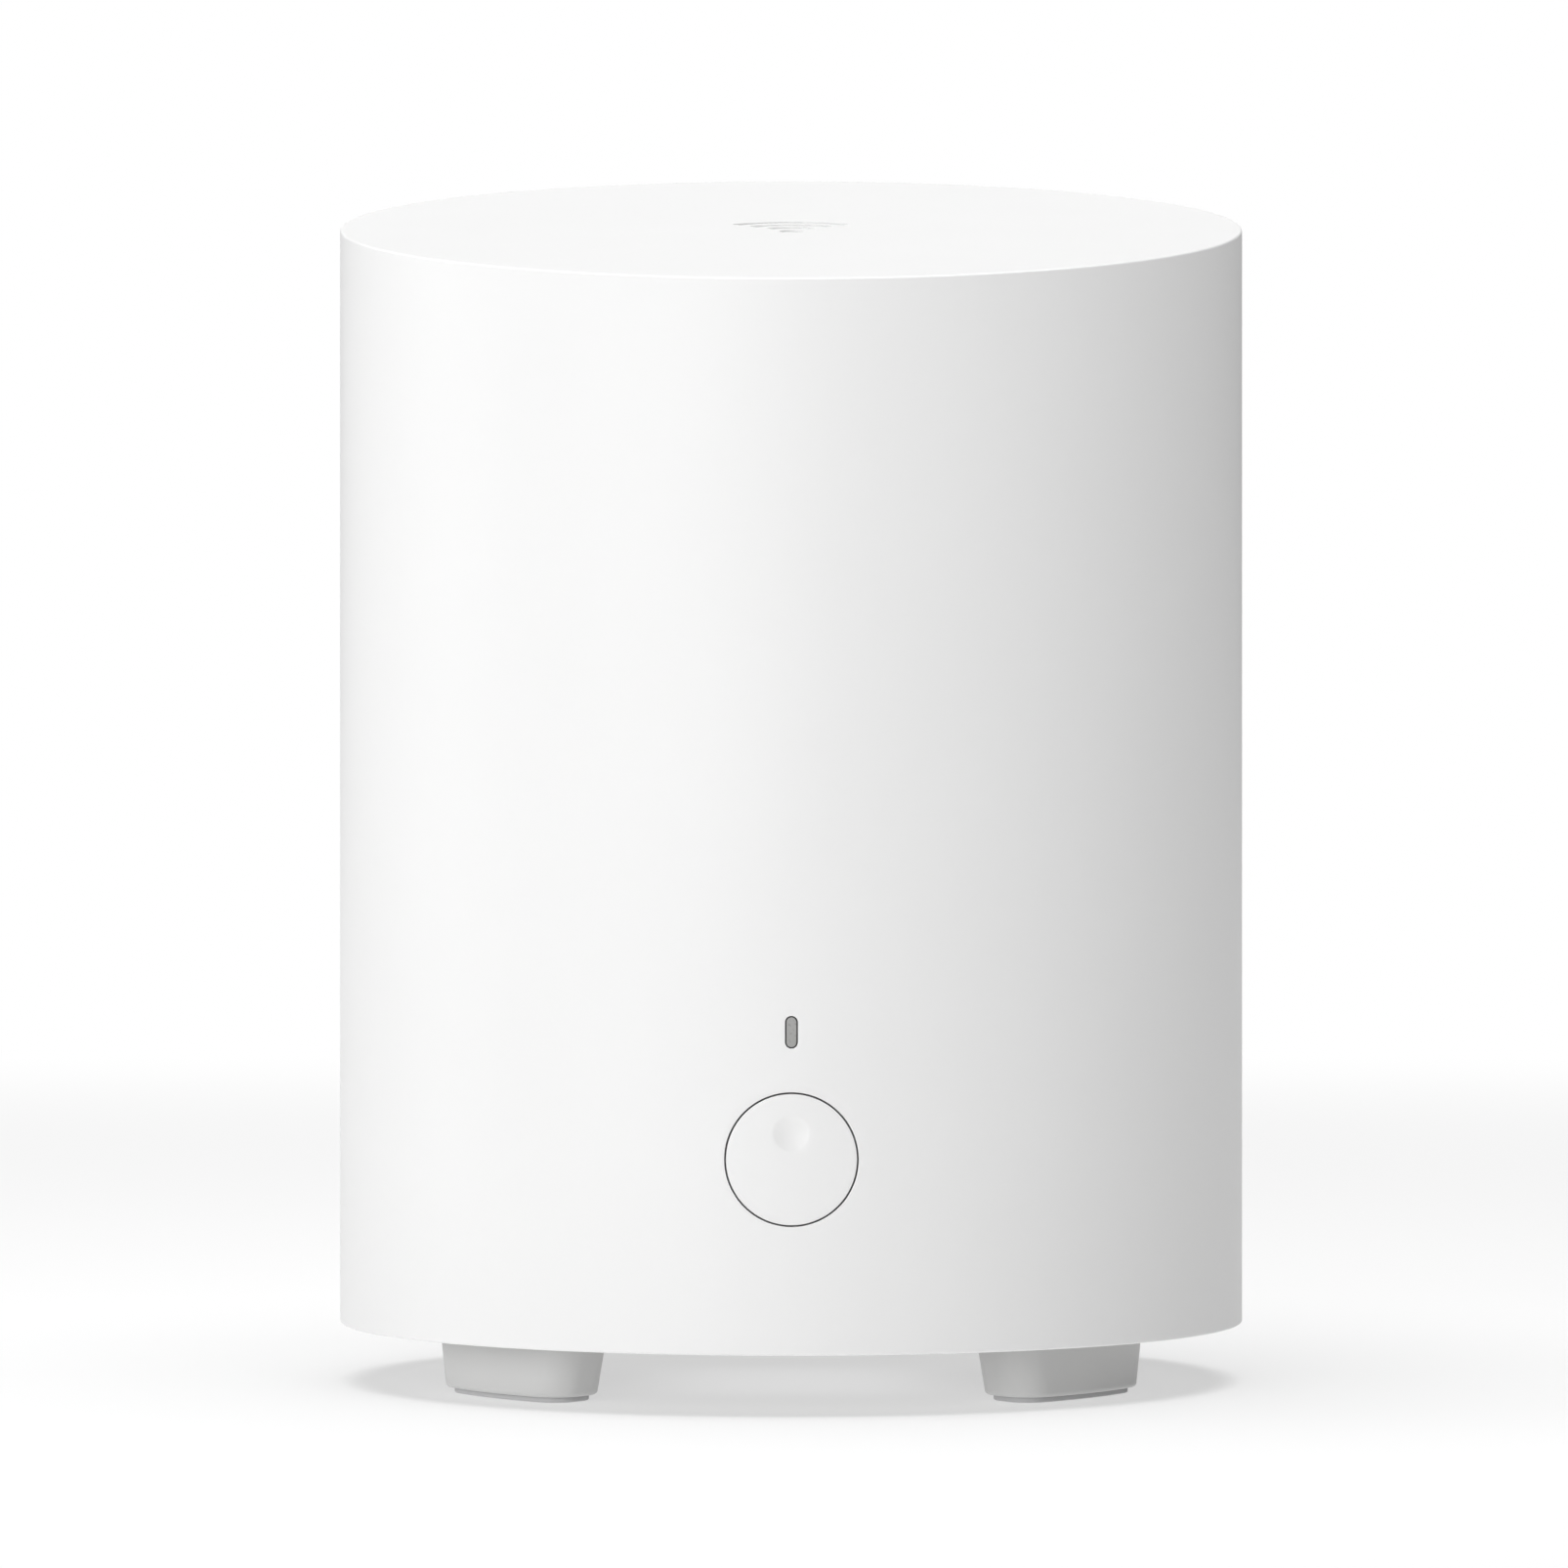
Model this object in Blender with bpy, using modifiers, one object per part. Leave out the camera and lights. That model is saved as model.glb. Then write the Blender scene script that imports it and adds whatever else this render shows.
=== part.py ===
"""Mesh wifi node: a white cylinder with a sloping top on four feet.

Blender 4.5, metres, +Z up. The origin is on the floor, on the body's axis, and the front (status
light and mesh button) faces -Y. Every separate physical piece is one object.
"""

from math import asin, cos, pi, radians, sin, tan

import bmesh
import bpy
from mathutils import Matrix, Vector

# ================================================================ driving dimensions, metres
# ---------------------------------------------------------------- body
BODY_RADIUS = 0.0500
BODY_SIDES = 88
WALL = 0.0022
AXIS_HEIGHT = 0.1279  # the sloping top's height above the floor, on the body's axis
SLOPE_ANGLE = radians(10)  # the top falls towards the front
TOP_SLOPE = tan(SLOPE_ANGLE)
RIM_HEIGHT = 0.0065  # the shell's lower rim above the floor
EDGE_ROUND = 0.0004

GAP = 0.0002  # clearance that neighbouring pieces keep
PAST = 0.0010  # how far a cutter reaches past the face that it opens
SUNK = 0.0005  # how far a boss, post or fin reaches into the piece that it joins
SCREW_SIDES = 16
POST_SIDES = 24
LOW_DRUM = (0.0010, 0.0600)  # bottom and top of the drums that trim the button, light and bay

# signal sign pressed into the top: three arcs over a dot
SIGNAL_ARCS = (0.0036, 0.0064, 0.0092)
SIGNAL_STROKE = 0.0013
SIGNAL_DEPTH = 0.0002
SIGNAL_FORWARD = 0.0048  # how far the dot lies in front of the axis
SIGNAL_HALF_ANGLE = radians(42)

# ---------------------------------------------------------------- front controls
BUTTON_HEIGHT = 0.0270
BUTTON_RADIUS = 0.00685
BUTTON_CLEARANCE = 0.00018
DIMPLE_RISE = 0.0027  # the dimple's centre above the button's centre
DIMPLE_RADIUS = 0.0019
DIMPLE_DEPTH = 0.00022
FLANGE_FACE = -0.0468  # front of the button's retaining flange
FLANGE_THICKNESS = 0.0009
FLANGE_REACH = 0.0009  # how far the flange stands out past the cap
STEM_RADIUS = 0.0018
STEM_END = -0.0413

LIGHT_HEIGHT = 0.0403
LIGHT_WIDTH = 0.00108
LIGHT_LENGTH = 0.00314
LIGHT_CLEARANCE = 0.00013
LIGHT_REAR = -0.0380
LIGHT_FLANGE_FACE = -0.0473
LIGHT_FLANGE_REAR = -0.0466
LIGHT_FLANGE_HALF_WIDTH = 0.0016
LIGHT_FLANGE_HALF_HEIGHT = 0.0027

BRACKET_FACE = -0.0422
BRACKET_THICKNESS = 0.0016
BRACKET_HALF_WIDTH = 0.0170
BRACKET_BOTTOM = 0.0170
BRACKET_TOP = 0.0460
BRACKET_SCREW_X = 0.0135
BRACKET_SCREW_Z = 0.0335
BRACKET_BOSS_RADIUS = 0.0027
BRACKET_POST_RADIUS = 0.0026
BRACKET_PILOT_RADIUS = 0.0011
BRACKET_PILOT_DEPTH = 0.0030
BRACKET_HOLE_RADIUS = 0.0012
BRACKET_STEM_HOLE_RADIUS = 0.0026
BRACKET_LIGHT_HOLE_HALF_WIDTH = 0.0012
BRACKET_LIGHT_HOLE_HALF_HEIGHT = 0.0022

FRONT_BOARD_FACE = -0.0364
FRONT_BOARD_THICKNESS = 0.0012
FRONT_BOARD_REAR = FRONT_BOARD_FACE + FRONT_BOARD_THICKNESS
FRONT_BOARD_HALF_WIDTH = 0.0165
FRONT_BOARD_BOTTOM = 0.0190
FRONT_BOARD_TOP = 0.0450

LED_HALF_WIDTH = 0.0015
LED_HALF_HEIGHT = 0.0010
LED_DEPTH = 0.0012

SWITCH_HALF_WIDTH = 0.0030
SWITCH_BODY_FACE = FRONT_BOARD_FACE - 0.0036
SWITCH_BORE_RADIUS = 0.0020
SWITCH_BORE_DEPTH = 0.0022
SWITCH_PLUNGER_RADIUS = 0.0017
SWITCH_PLUNGER_SEAT = 0.0014  # how far the plunger reaches into its bore

RIBBON_SOCKET_HALF_WIDTH = 0.0040
RIBBON_SOCKET_BOTTOM = 0.0322
RIBBON_SOCKET_TOP = 0.0354
RIBBON_SOCKET_DEPTH = 0.0022
RIBBON_WIDTH = 0.0060
RIBBON_THICKNESS = 0.0003
RIBBON_SAG = 0.0120
RIBBON_END_HEIGHT = (RIBBON_SOCKET_BOTTOM + RIBBON_SOCKET_TOP) / 2
RIBBON_STEPS = 20

# ---------------------------------------------------------------- feet, drawn in towards the floor
# in plan each is a part of a ring about the body's axis; 0 degrees is the front
FOOT_ANGLES = {"front_left": -51.25, "front_right": 51.25, "rear_right": 128.75, "rear_left": 231.25}
PAD_OUTER = 0.0412
PAD_INNER = 0.0344
PAD_HALF_ANGLE = radians(14.2)
PAD_CORNER = 0.0026
PAD_SHOWN = 0.0006
PAD_THICKNESS = 0.0014
PAD_CLEARANCE = 0.0002
PAD_EDGE_ROUND = 0.00015
FOOT_MARGIN = 0.00095  # how far the foot reaches past its pad all round
FOOT_ROUND_OUT = 0.0006
FOOT_ROUND_UP = 0.0005
FOOT_ROUND_STEPS = 3
FOOT_FLARE = 0.0001
FOOT_FLARE_ANGLE = radians(1.75)
FOOT_SCREW_RADIUS = 0.0380  # from the body's axis
FOOT_SCREW_SEAT = 0.0038  # under the screw's head
COUNTERBORE_RADIUS = 0.0029
SCREW_HOLE_RADIUS = 0.0017

# ---------------------------------------------------------------- base plate
BASE_RADIUS = BODY_RADIUS - WALL - 0.0005
BASE_BOTTOM = RIM_HEIGHT + 0.0005
BASE_THICKNESS = 0.0026
BASE_TOP = BASE_BOTTOM + BASE_THICKNESS
BASE_LIP = 0.0010
BASE_LIP_WIDTH = 0.0012
BASE_EDGE_ROUND = 0.0003
VENT_ROWS = 6
VENT_PITCH = 0.0040
VENT_FIRST_Y = -0.0100
VENT_X = 0.0245
VENT_WIDTH = 0.0022
VENT_LENGTH = 0.0120
LABEL_HALF_WIDTH = 0.0130
LABEL_HALF_LENGTH = 0.0170
LABEL_CORNER = 0.0020
LABEL_THICKNESS = 0.0002
LABEL_CLEARANCE = 0.0001
LABEL_Y = -0.0040

# bosses in the shell for the screws that come up through the feet, each tied to the wall by a rib
BOSS_RADIUS = 0.0028
BOSS_BOTTOM = BASE_TOP + GAP
BOSS_TOP = 0.0260
BOSS_PILOT_RADIUS = 0.0015
BOSS_PILOT_END = 0.0230
BOSS_RIB_HALF_WIDTH = 0.0008
BOSS_RIB_BOTTOM = BASE_TOP + BASE_LIP + 2 * GAP
BOSS_RIB_TOP = 0.0250
BOSS_RIB_OUTER = BODY_RADIUS - 0.0012
BOSS_RIB_INNER = FOOT_SCREW_RADIUS + 0.0020

# ---------------------------------------------------------------- rear ports
BAY_HALF_WIDTH = 0.0250
BAY_BOTTOM = 0.0125
BAY_TOP = 0.0295
BAY_CORNER = 0.0025
BAY_WALL = 0.0015
BAY_FLOOR_WALL = 0.00075
PANEL_FACE = 0.0400  # y of the flat panel that the sockets open in
PANEL_THICKNESS = 0.0018
SOCKET_HEIGHT = (BAY_BOTTOM + BAY_TOP) / 2
SOCKET_FACE = PANEL_FACE - GAP

LAN_X = (0.0146, -0.0032)
LAN_SIZE = (0.0158, 0.0134)
LAN_ROOM_END = 0.0268  # y of the far end of the plug's room
LAN_ROOM_HALF_WIDTH = 0.00595
LAN_ROOM_BELOW, LAN_ROOM_ABOVE = 0.0037, 0.0033  # from the socket's middle height
LAN_KEY_HALF_WIDTH = 0.0031
LAN_KEY_BELOW = 0.0059
LAN_KEY_JOIN = 0.0030
COMB_HALF_WIDTH = 0.0046
COMB_DEPTH = (0.0270, 0.0289)
COMB_RISE = (0.0017, 0.0031)
CONTACTS = 8
CONTACT_PITCH = 0.00102
CONTACT_HALF_WIDTH = 0.0002
CONTACT_RISE = (0.0021, 0.0025)
CONTACT_TIP = 0.0375

POWER_X = -0.0178
POWER_SIZE = (0.0094, 0.0114)
POWER_BORE_RADIUS = 0.0032
POWER_BORE_DEPTH = 0.0098
POWER_PIN_RADIUS = 0.00105
POWER_PIN_INSET = 0.0008  # the pin's tip behind the socket's face

# ---------------------------------------------------------------- upright main board and its frame
BOARD_HALF_WIDTH = 0.0340
BOARD_FRONT = 0.0190
BOARD_REAR = 0.0206
BOARD_BOTTOM = 0.0120
BOARD_TOP = 0.1080
BOARD_SCREW_X = 0.0270
BOARD_SCREW_Z = 0.1045
BOARD_SCREW_HOLE_RADIUS = 0.0013
BOARD_PILOT_RADIUS = 0.0012
BOARD_PILOT_END = 0.0300

FRAME_BOTTOM = BASE_TOP + GAP
FRAME_FRONT = 0.0158
FRAME_REAR = 0.0236
FRAME_OUT = 0.0382
FRAME_IN = BOARD_HALF_WIDTH - 0.0010
FRAME_BAR_HEIGHT = 0.0065
FRAME_BOARD_CLEARANCE = 0.0004
GROOVE_DEPTH = 0.0020
GROOVE_CLEARANCE = 0.0003
FRAME_SCREW_X = 0.0358
FRAME_SCREW_Y = 0.0105
FRAME_TOE_HALF_WIDTH = 0.0026
FRAME_TOE_TOP = 0.0205
FRAME_PILOT_RADIUS = 0.0013
FRAME_PILOT_END = 0.0190
FRAME_HOLE_RADIUS = 0.0014
FRAME_HEAD_RADIUS = 0.0027
FRAME_HEAD_DEPTH = 0.0016

# ---------------------------------------------------------------- chips, cans and heatsinks
PROCESSOR_HALF_WIDTH, PROCESSOR_BOTTOM, PROCESSOR_TOP = 0.0085, 0.0640, 0.0810
PROCESSOR_THICKNESS = 0.0014
RADIO_HALF_WIDTH, RADIO_BOTTOM, RADIO_TOP = 0.0060, 0.0670, 0.0790
RADIO_THICKNESS = 0.0012
SHIELD_HEIGHT = 0.0026
SHIELD_WALL = 0.0004
PROCESSOR_SHIELD = (0.0200, 0.0530, 0.0920)  # half-width, bottom and top
RADIO_SHIELD = (0.0180, 0.0580, 0.0880)
THERMAL_PAD_HALF_WIDTH, THERMAL_PAD_BOTTOM, THERMAL_PAD_TOP = 0.0150, 0.0580, 0.0870
THERMAL_PAD_THICKNESS = 0.0010

SINK_HALF_WIDTH = 0.0280
SINK_BOTTOM, SINK_TOP = 0.0420, 0.1000
SINK_PLATE = 0.0024
SINK_FRONT_END = -0.0040  # y of the fins' tips
SINK_REAR_END = 0.0370
FIN_PITCH = 0.0060
FIN_THICKNESS = 0.0014
FIN_COUNT = 7
FIN_SUNK = 0.0008

PIN_PLACES = ((-0.0250, 0.0460), (0.0250, 0.0960))  # x and z of the pins that clamp the heatsinks
PIN_HOLE_RADIUS = 0.0015
PIN_RADIUS = 0.0012
PIN_HEAD_RADIUS = 0.0024
PIN_HEAD_TOP_RADIUS = 0.0022
PIN_HEAD_HEIGHT = 0.0016
PIN_TIP = 0.0012

# ---------------------------------------------------------------- reset switch, worked through the base
RESET_X = -0.0150
RESET_Y = 0.0172
RESET_HOLE_RADIUS = 0.0011
RESET_BODY_BOTTOM = 0.0142
RESET_BODY_HEIGHT = 0.0050
RESET_BODY_HALF_WIDTH = 0.0030
RESET_BODY_DEPTH = 0.0036
RESET_BORE_DEPTH = 0.0020
RESET_PLUNGER_RADIUS = 0.0009
RESET_PLUNGER_SHOWN = 0.0018
RESET_PLUNGER_SEAT = 0.0014

# ---------------------------------------------------------------- antennas
STRIP_IN = FRAME_OUT + 0.0003
STRIP_OUT = STRIP_IN + 0.0008
STRIP_FRONT = 0.0120
STRIP_REAR = 0.0220
LEAD_DIAMETER = 0.0011
# each band's strip: its lower and upper ends, its lead's height on the strip, and the x and z of
# the lead's end on the board
ANTENNA_BANDS = {
    "low_band": (0.0600, 0.1040, 0.0640, 0.0300, 0.0400),
    "high_band": (0.0220, 0.0520, 0.0480, 0.0250, 0.0370),
}

# ---------------------------------------------------------------- screws
# head radius, head height, shank radius and length
BASE_SCREW = (0.0025, 0.0018, 0.0013, 0.0150)
BRACKET_SCREW = (0.0021, 0.0014, 0.0009, 0.0100)
FRAME_SCREW = (0.0024, 0.0013, 0.0011, 0.0090)
BOARD_SCREW = (0.0021, 0.0014, 0.0009, 0.0042)
FRAME_SCREW_SEAT = BASE_BOTTOM + 0.0014


# ================================================================ scene and materials
def make_collection(name):
    collection = bpy.data.collections.new(name)
    bpy.context.scene.collection.children.link(collection)
    return collection


for leftover in list(bpy.data.objects):
    bpy.data.objects.remove(leftover, do_unlink=True)
PARTS = make_collection("mesh_wifi_node")
CUTTERS = make_collection("cutters")


def make_material(name, colour, roughness=0.5, metallic=0.0):
    material = bpy.data.materials.new(name)
    material.use_nodes = True
    shader = material.node_tree.nodes["Principled BSDF"]
    shader.inputs["Base Color"].default_value = (*colour, 1.0)
    shader.inputs["Roughness"].default_value = roughness
    shader.inputs["Metallic"].default_value = metallic
    return material


WHITE_SHELL = make_material("white_shell", (0.86, 0.86, 0.86), 0.45)
WHITE_BUTTON = make_material("white_button", (0.86, 0.86, 0.86), 0.42)
LIGHT_WINDOW = make_material("light_window", (0.42, 0.42, 0.41), 0.35)
GREY_PLASTIC = make_material("grey_plastic", (0.36, 0.36, 0.35), 0.50)
FOOT_GREY = make_material("foot_grey", (0.60, 0.60, 0.59), 0.50)
PAD_RUBBER = make_material("pad_rubber", (0.50, 0.50, 0.51), 0.80)
DARK_PLASTIC = make_material("dark_plastic", (0.03, 0.03, 0.03), 0.50)
FRAME_PLASTIC = make_material("frame_plastic", (0.70, 0.70, 0.68), 0.60)
CIRCUIT_BOARD = make_material("circuit_board", (0.02, 0.16, 0.07), 0.45)
ANTENNA_BOARD = make_material("antenna_board", (0.03, 0.03, 0.03), 0.45)
CHIP = make_material("chip", (0.02, 0.02, 0.02), 0.40)
ALUMINIUM = make_material("aluminium", (0.75, 0.76, 0.78), 0.35, 1.0)
TINPLATE = make_material("tinplate", (0.72, 0.72, 0.70), 0.30, 1.0)
STEEL = make_material("steel", (0.55, 0.55, 0.56), 0.30, 1.0)
GOLD_CONTACT = make_material("gold_contact", (0.83, 0.62, 0.25), 0.25, 1.0)
THERMAL_PAD = make_material("thermal_pad", (0.45, 0.60, 0.70), 0.85)
CABLE_JACKET = make_material("cable_jacket", (0.05, 0.05, 0.05), 0.55)
RIBBON = make_material("ribbon", (0.80, 0.80, 0.78), 0.55)
LABEL_PAPER = make_material("label_paper", (0.75, 0.75, 0.75), 0.60)
LED_BODY = make_material("led_body", (0.90, 0.90, 0.80), 0.30)


# ================================================================ shape helpers
def add_object(name, mesh, material=None, location=(0, 0, 0), rotation=(0, 0, 0)):
    """A new object: a part if it has a material, or else a cutter."""
    obj = bpy.data.objects.new(name, mesh)
    obj.location = location
    obj.rotation_euler = rotation
    if material:
        if not mesh.materials:
            mesh.materials.append(material)
        PARTS.objects.link(obj)
    else:
        CUTTERS.objects.link(obj)
        obj.hide_render = True
        obj.display_type = "WIRE"
    return obj


def finish_mesh(bm, name, smooth=False):
    bmesh.ops.recalc_face_normals(bm, faces=bm.faces)
    mesh = bpy.data.meshes.new(name)
    bm.to_mesh(mesh)
    bm.free()
    if smooth:
        mesh.shade_smooth()
        mesh.set_sharp_from_angle(angle=radians(35))
    return mesh


def add_box(name, low, high, material=None):
    """A box between two corners, with its origin at its centre."""
    low, high = Vector(low), Vector(high)
    bm = bmesh.new()
    bmesh.ops.create_cube(bm, size=1.0)
    bmesh.ops.scale(bm, vec=high - low, verts=bm.verts)
    return add_object(name, finish_mesh(bm, name), material, (low + high) / 2)


def add_cylinder(name, radius, start, end, material=None, sides=48):
    """A cylinder from one point to another, with its origin at the first."""
    start, end = Vector(start), Vector(end)
    length = (end - start).length
    bm = bmesh.new()
    bmesh.ops.create_cone(
        bm,
        cap_ends=True,
        segments=sides,
        radius1=radius,
        radius2=radius,
        depth=length,
        matrix=Matrix.Translation((0, 0, length / 2)),
    )
    mesh = finish_mesh(bm, name, smooth=True)
    turn = Vector((0, 0, 1)).rotation_difference(end - start).to_euler()
    return add_object(name, mesh, material, start, turn)


def add_upright(name, radius, centre, bottom, top, sides=SCREW_SIDES):
    """An upright cylinder, as a cutter or a boss, over a point of the plan."""
    return add_cylinder(name, radius, (*centre.xy, bottom), (*centre.xy, top), None, sides)


def add_level(name, radius, x, z, front, rear, sides=SCREW_SIDES):
    """A cylinder along Y, as a cutter or a boss."""
    return add_cylinder(name, radius, (x, front, z), (x, rear, z), None, sides)


def add_drum(name, radius, bottom, top_on_axis, material=None):
    """A body-sized cylinder whose top follows the sloping plane."""
    obj = add_cylinder(name, radius, (0, 0, bottom), (0, 0, top_on_axis), material, BODY_SIDES)
    for vertex in obj.data.vertices:
        if vertex.co.z > (top_on_axis - bottom) / 2:
            vertex.co.z += TOP_SLOPE * vertex.co.y
    return obj


def add_prism(name, outline, bottom, top, material=None, location=(0, 0, 0), rotation=(0, 0, 0)):
    """A flat outline of (x, y) points as a solid from bottom to top: a filled curve, made a mesh."""
    curve = bpy.data.curves.new(name, "CURVE")
    curve.dimensions = "2D"
    curve.fill_mode = "BOTH"
    curve.extrude = (top - bottom) / 2
    spline = curve.splines.new("POLY")
    spline.points.add(len(outline) - 1)
    for point, (x, y) in zip(spline.points, outline):
        point.co = (x, y, 0, 1)
    spline.use_cyclic_u = True
    guide = bpy.data.objects.new(name + "_outline", curve)
    CUTTERS.objects.link(guide)
    bpy.context.view_layer.update()
    graph = bpy.context.evaluated_depsgraph_get()
    filled = bpy.data.meshes.new_from_object(guide.evaluated_get(graph))
    bpy.data.objects.remove(guide)
    bm = bmesh.new()
    bm.from_mesh(filled)
    bpy.data.meshes.remove(filled)
    bmesh.ops.remove_doubles(bm, verts=bm.verts, dist=1e-7)
    bmesh.ops.translate(bm, vec=(0, 0, (top + bottom) / 2), verts=bm.verts)
    return add_object(name, finish_mesh(bm, name, True), material, location, rotation)


def add_loft(name, rings, material):
    """Skin over flat outlines with equal numbers of points, each with its height, going up."""
    bm = bmesh.new()
    loops = [[bm.verts.new((x, y, height)) for x, y in outline] for height, outline in rings]
    for lower, upper in zip(loops, loops[1:]):
        for k in range(len(lower)):
            after = (k + 1) % len(lower)
            bm.faces.new((lower[k], lower[after], upper[after], upper[k]))
    bm.faces.new(loops[0][::-1])
    bm.faces.new(loops[-1])
    return add_object(name, finish_mesh(bm, name, True), material)


def add_turned(name, profile, material, sides=SCREW_SIDES):
    """A turned piece about its own Z axis. The profile's (radius, height) points run down."""
    mesh = bpy.data.meshes.new(name)
    points = [(radius, 0, height) for radius, height in profile]
    mesh.from_pydata(points, [(i, i + 1) for i in range(len(points) - 1)], [])
    obj = add_object(name, mesh, material)
    screw = obj.modifiers.new("turn", "SCREW")
    screw.steps = sides
    screw.render_steps = sides
    screw.use_merge_vertices = True
    screw.merge_threshold = 0.00001
    return obj


def combine(obj, other, operation):
    modifier = obj.modifiers.new(operation.lower(), "BOOLEAN")
    modifier.operation = operation
    modifier.object = other
    return obj


def cut(obj, *cutters):
    for cutter in cutters:
        combine(obj, cutter, "DIFFERENCE")
    return obj


def join(obj, *others):
    for other in others:
        combine(obj, other, "UNION")
    return obj


def round_edges(obj, width, segments=2, angle=radians(40)):
    bevel = obj.modifiers.new("round", "BEVEL")
    bevel.width = width
    bevel.segments = segments
    bevel.limit_method = "ANGLE"
    bevel.angle_limit = angle
    return obj


def bake(obj):
    """Replaces the object's mesh and modifiers by the finished mesh, for copies to share."""
    bpy.context.view_layer.update()
    graph = bpy.context.evaluated_depsgraph_get()
    mesh = bpy.data.meshes.new_from_object(obj.evaluated_get(graph))
    obj.modifiers.clear()
    obj.data = mesh
    return obj


def rounded_rectangle(half_width, half_height, corner, steps=4):
    """Outline points of a rectangle with round corners."""
    points = []
    for quarter, (sx, sy) in enumerate(((1, 1), (-1, 1), (-1, -1), (1, -1))):
        for step in range(steps + 1):
            angle = (quarter + step / steps) * pi / 2
            x = sx * (half_width - corner) + corner * cos(angle)
            y = sy * (half_height - corner) + corner * sin(angle)
            points.append((x, y))
    return points


def circle_outline(radius, sides=SCREW_SIDES):
    turns = [2 * pi * k / sides for k in range(sides)]
    return [(radius * cos(turn), radius * sin(turn)) for turn in turns]


def slot_outline(width, length, steps=8):
    """Outline points of an upright slot with half-round ends."""
    points = []
    for end in (0, 1):
        for step in range(steps + 1):
            angle = end * pi + pi * step / steps
            rise = (length - width) / 2 * (1 - 2 * end)
            points.append((width / 2 * cos(angle), rise + width / 2 * sin(angle)))
    return points


def ring_part_outline(grow, extra_angle=0.0, arc_steps=6, corner_steps=4):
    """Plan of a foot or pad, centred on the -Y direction: the pad's outline, moved outwards all
    round by grow, with its two ends turned apart by the extra angle."""
    half_angle = PAD_HALF_ANGLE + extra_angle
    outer_reach, inner_reach = PAD_OUTER - PAD_CORNER, PAD_INNER + PAD_CORNER
    outer_turn = half_angle - asin(PAD_CORNER / outer_reach)
    inner_turn = half_angle - asin(PAD_CORNER / inner_reach)
    corner = PAD_CORNER + grow
    outer_end, inner_end = half_angle + pi / 2, inner_turn + pi
    # each corner or arc: its centre's reach and angle, its radius, and its first and last angle
    sweeps = [
        (0, 0, PAD_OUTER + grow, -outer_turn, outer_turn, arc_steps),
        (outer_reach, outer_turn, corner, outer_turn, outer_end, corner_steps),
        (inner_reach, inner_turn, corner, outer_end, inner_end, corner_steps),
        (0, 0, PAD_INNER - grow, inner_turn, -inner_turn, arc_steps),
        (inner_reach, -inner_turn, corner, -inner_end, -outer_end, corner_steps),
        (outer_reach, -outer_turn, corner, -outer_end, -outer_turn, corner_steps),
    ]
    points = []
    for reach, turn, radius, first, last, steps in sweeps:
        centre_x, centre_y = reach * sin(turn), -reach * cos(turn)
        for step in range(steps):
            angle = first + (last - first) * step / steps
            points.append((centre_x + radius * sin(angle), centre_y - radius * cos(angle)))
    return points


def facing_front(height):
    """Rotation that turns an outline's X, Y to the body's X, Z, and its +Z to the front (-Y)."""
    return {"location": (0, 0, height), "rotation": (pi / 2, 0, 0)}


def place_round(radius, degrees, z=0.0):
    """A point at this radius; 0 degrees is the front, and 90 is the right side (+X)."""
    return Vector((radius * sin(radians(degrees)), -radius * cos(radians(degrees)), z))


# ================================================================ outer shell
def make_shell():
    shell = add_drum("outer_shell", BODY_RADIUS, RIM_HEIGHT, AXIS_HEIGHT, WHITE_SHELL)
    round_edges(shell, EDGE_ROUND)
    cavity_top = AXIS_HEIGHT - WALL * (1 + TOP_SLOPE**2) ** 0.5
    cut(shell, add_drum("shell_cavity", BODY_RADIUS - WALL, RIM_HEIGHT - 5 * PAST, cavity_top))
    for place, degrees in FOOT_ANGLES.items():
        add_foot_boss(shell, place, degrees)
    for side in (-1, 1):
        add_bracket_boss(shell, side)
    cut_front_openings(shell)
    port_window = add_prism(
        "port_window",
        rounded_rectangle(BAY_HALF_WIDTH, (BAY_TOP - BAY_BOTTOM) / 2, BAY_CORNER),
        -BODY_RADIUS - 2 * PAST, -PANEL_FACE + PAST, **facing_front(SOCKET_HEIGHT),
    )
    cut(shell, port_window, *make_signal_cutters())


def add_foot_boss(shell, place, degrees):
    """A boss for the screw that comes up through a foot, tied to the wall by a rib."""
    centre = place_round(FOOT_SCREW_RADIUS, degrees)
    boss = add_upright("boss_" + place, BOSS_RADIUS, centre, BOSS_BOTTOM, BOSS_TOP, POST_SIDES)
    rib = add_box(
        "boss_rib_" + place, (-BOSS_RIB_HALF_WIDTH, -BOSS_RIB_OUTER, BOSS_RIB_BOTTOM),
        (BOSS_RIB_HALF_WIDTH, -BOSS_RIB_INNER, BOSS_RIB_TOP),
    )
    rib.location = Matrix.Rotation(radians(degrees), 3, "Z") @ rib.location
    rib.rotation_euler.z = radians(degrees)
    pilot = add_upright("boss_pilot_" + place, BOSS_PILOT_RADIUS, centre, BOSS_BOTTOM - PAST, BOSS_PILOT_END)
    join(shell, rib, boss)
    cut(shell, pilot)


def add_bracket_boss(shell, side):
    """A boss that the front bracket's screw holds in."""
    x, z = side * BRACKET_SCREW_X, BRACKET_SCREW_Z
    root, end = -BODY_RADIUS + WALL + PAST, BRACKET_FACE - GAP
    join(shell, add_level(f"bracket_boss_{side}", BRACKET_BOSS_RADIUS, x, z, root, end, POST_SIDES))
    pilot_end = BRACKET_FACE - BRACKET_PILOT_DEPTH
    cut(shell, add_level(f"bracket_pilot_{side}", BRACKET_PILOT_RADIUS, x, z, pilot_end, BRACKET_FACE + PAST))


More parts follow.
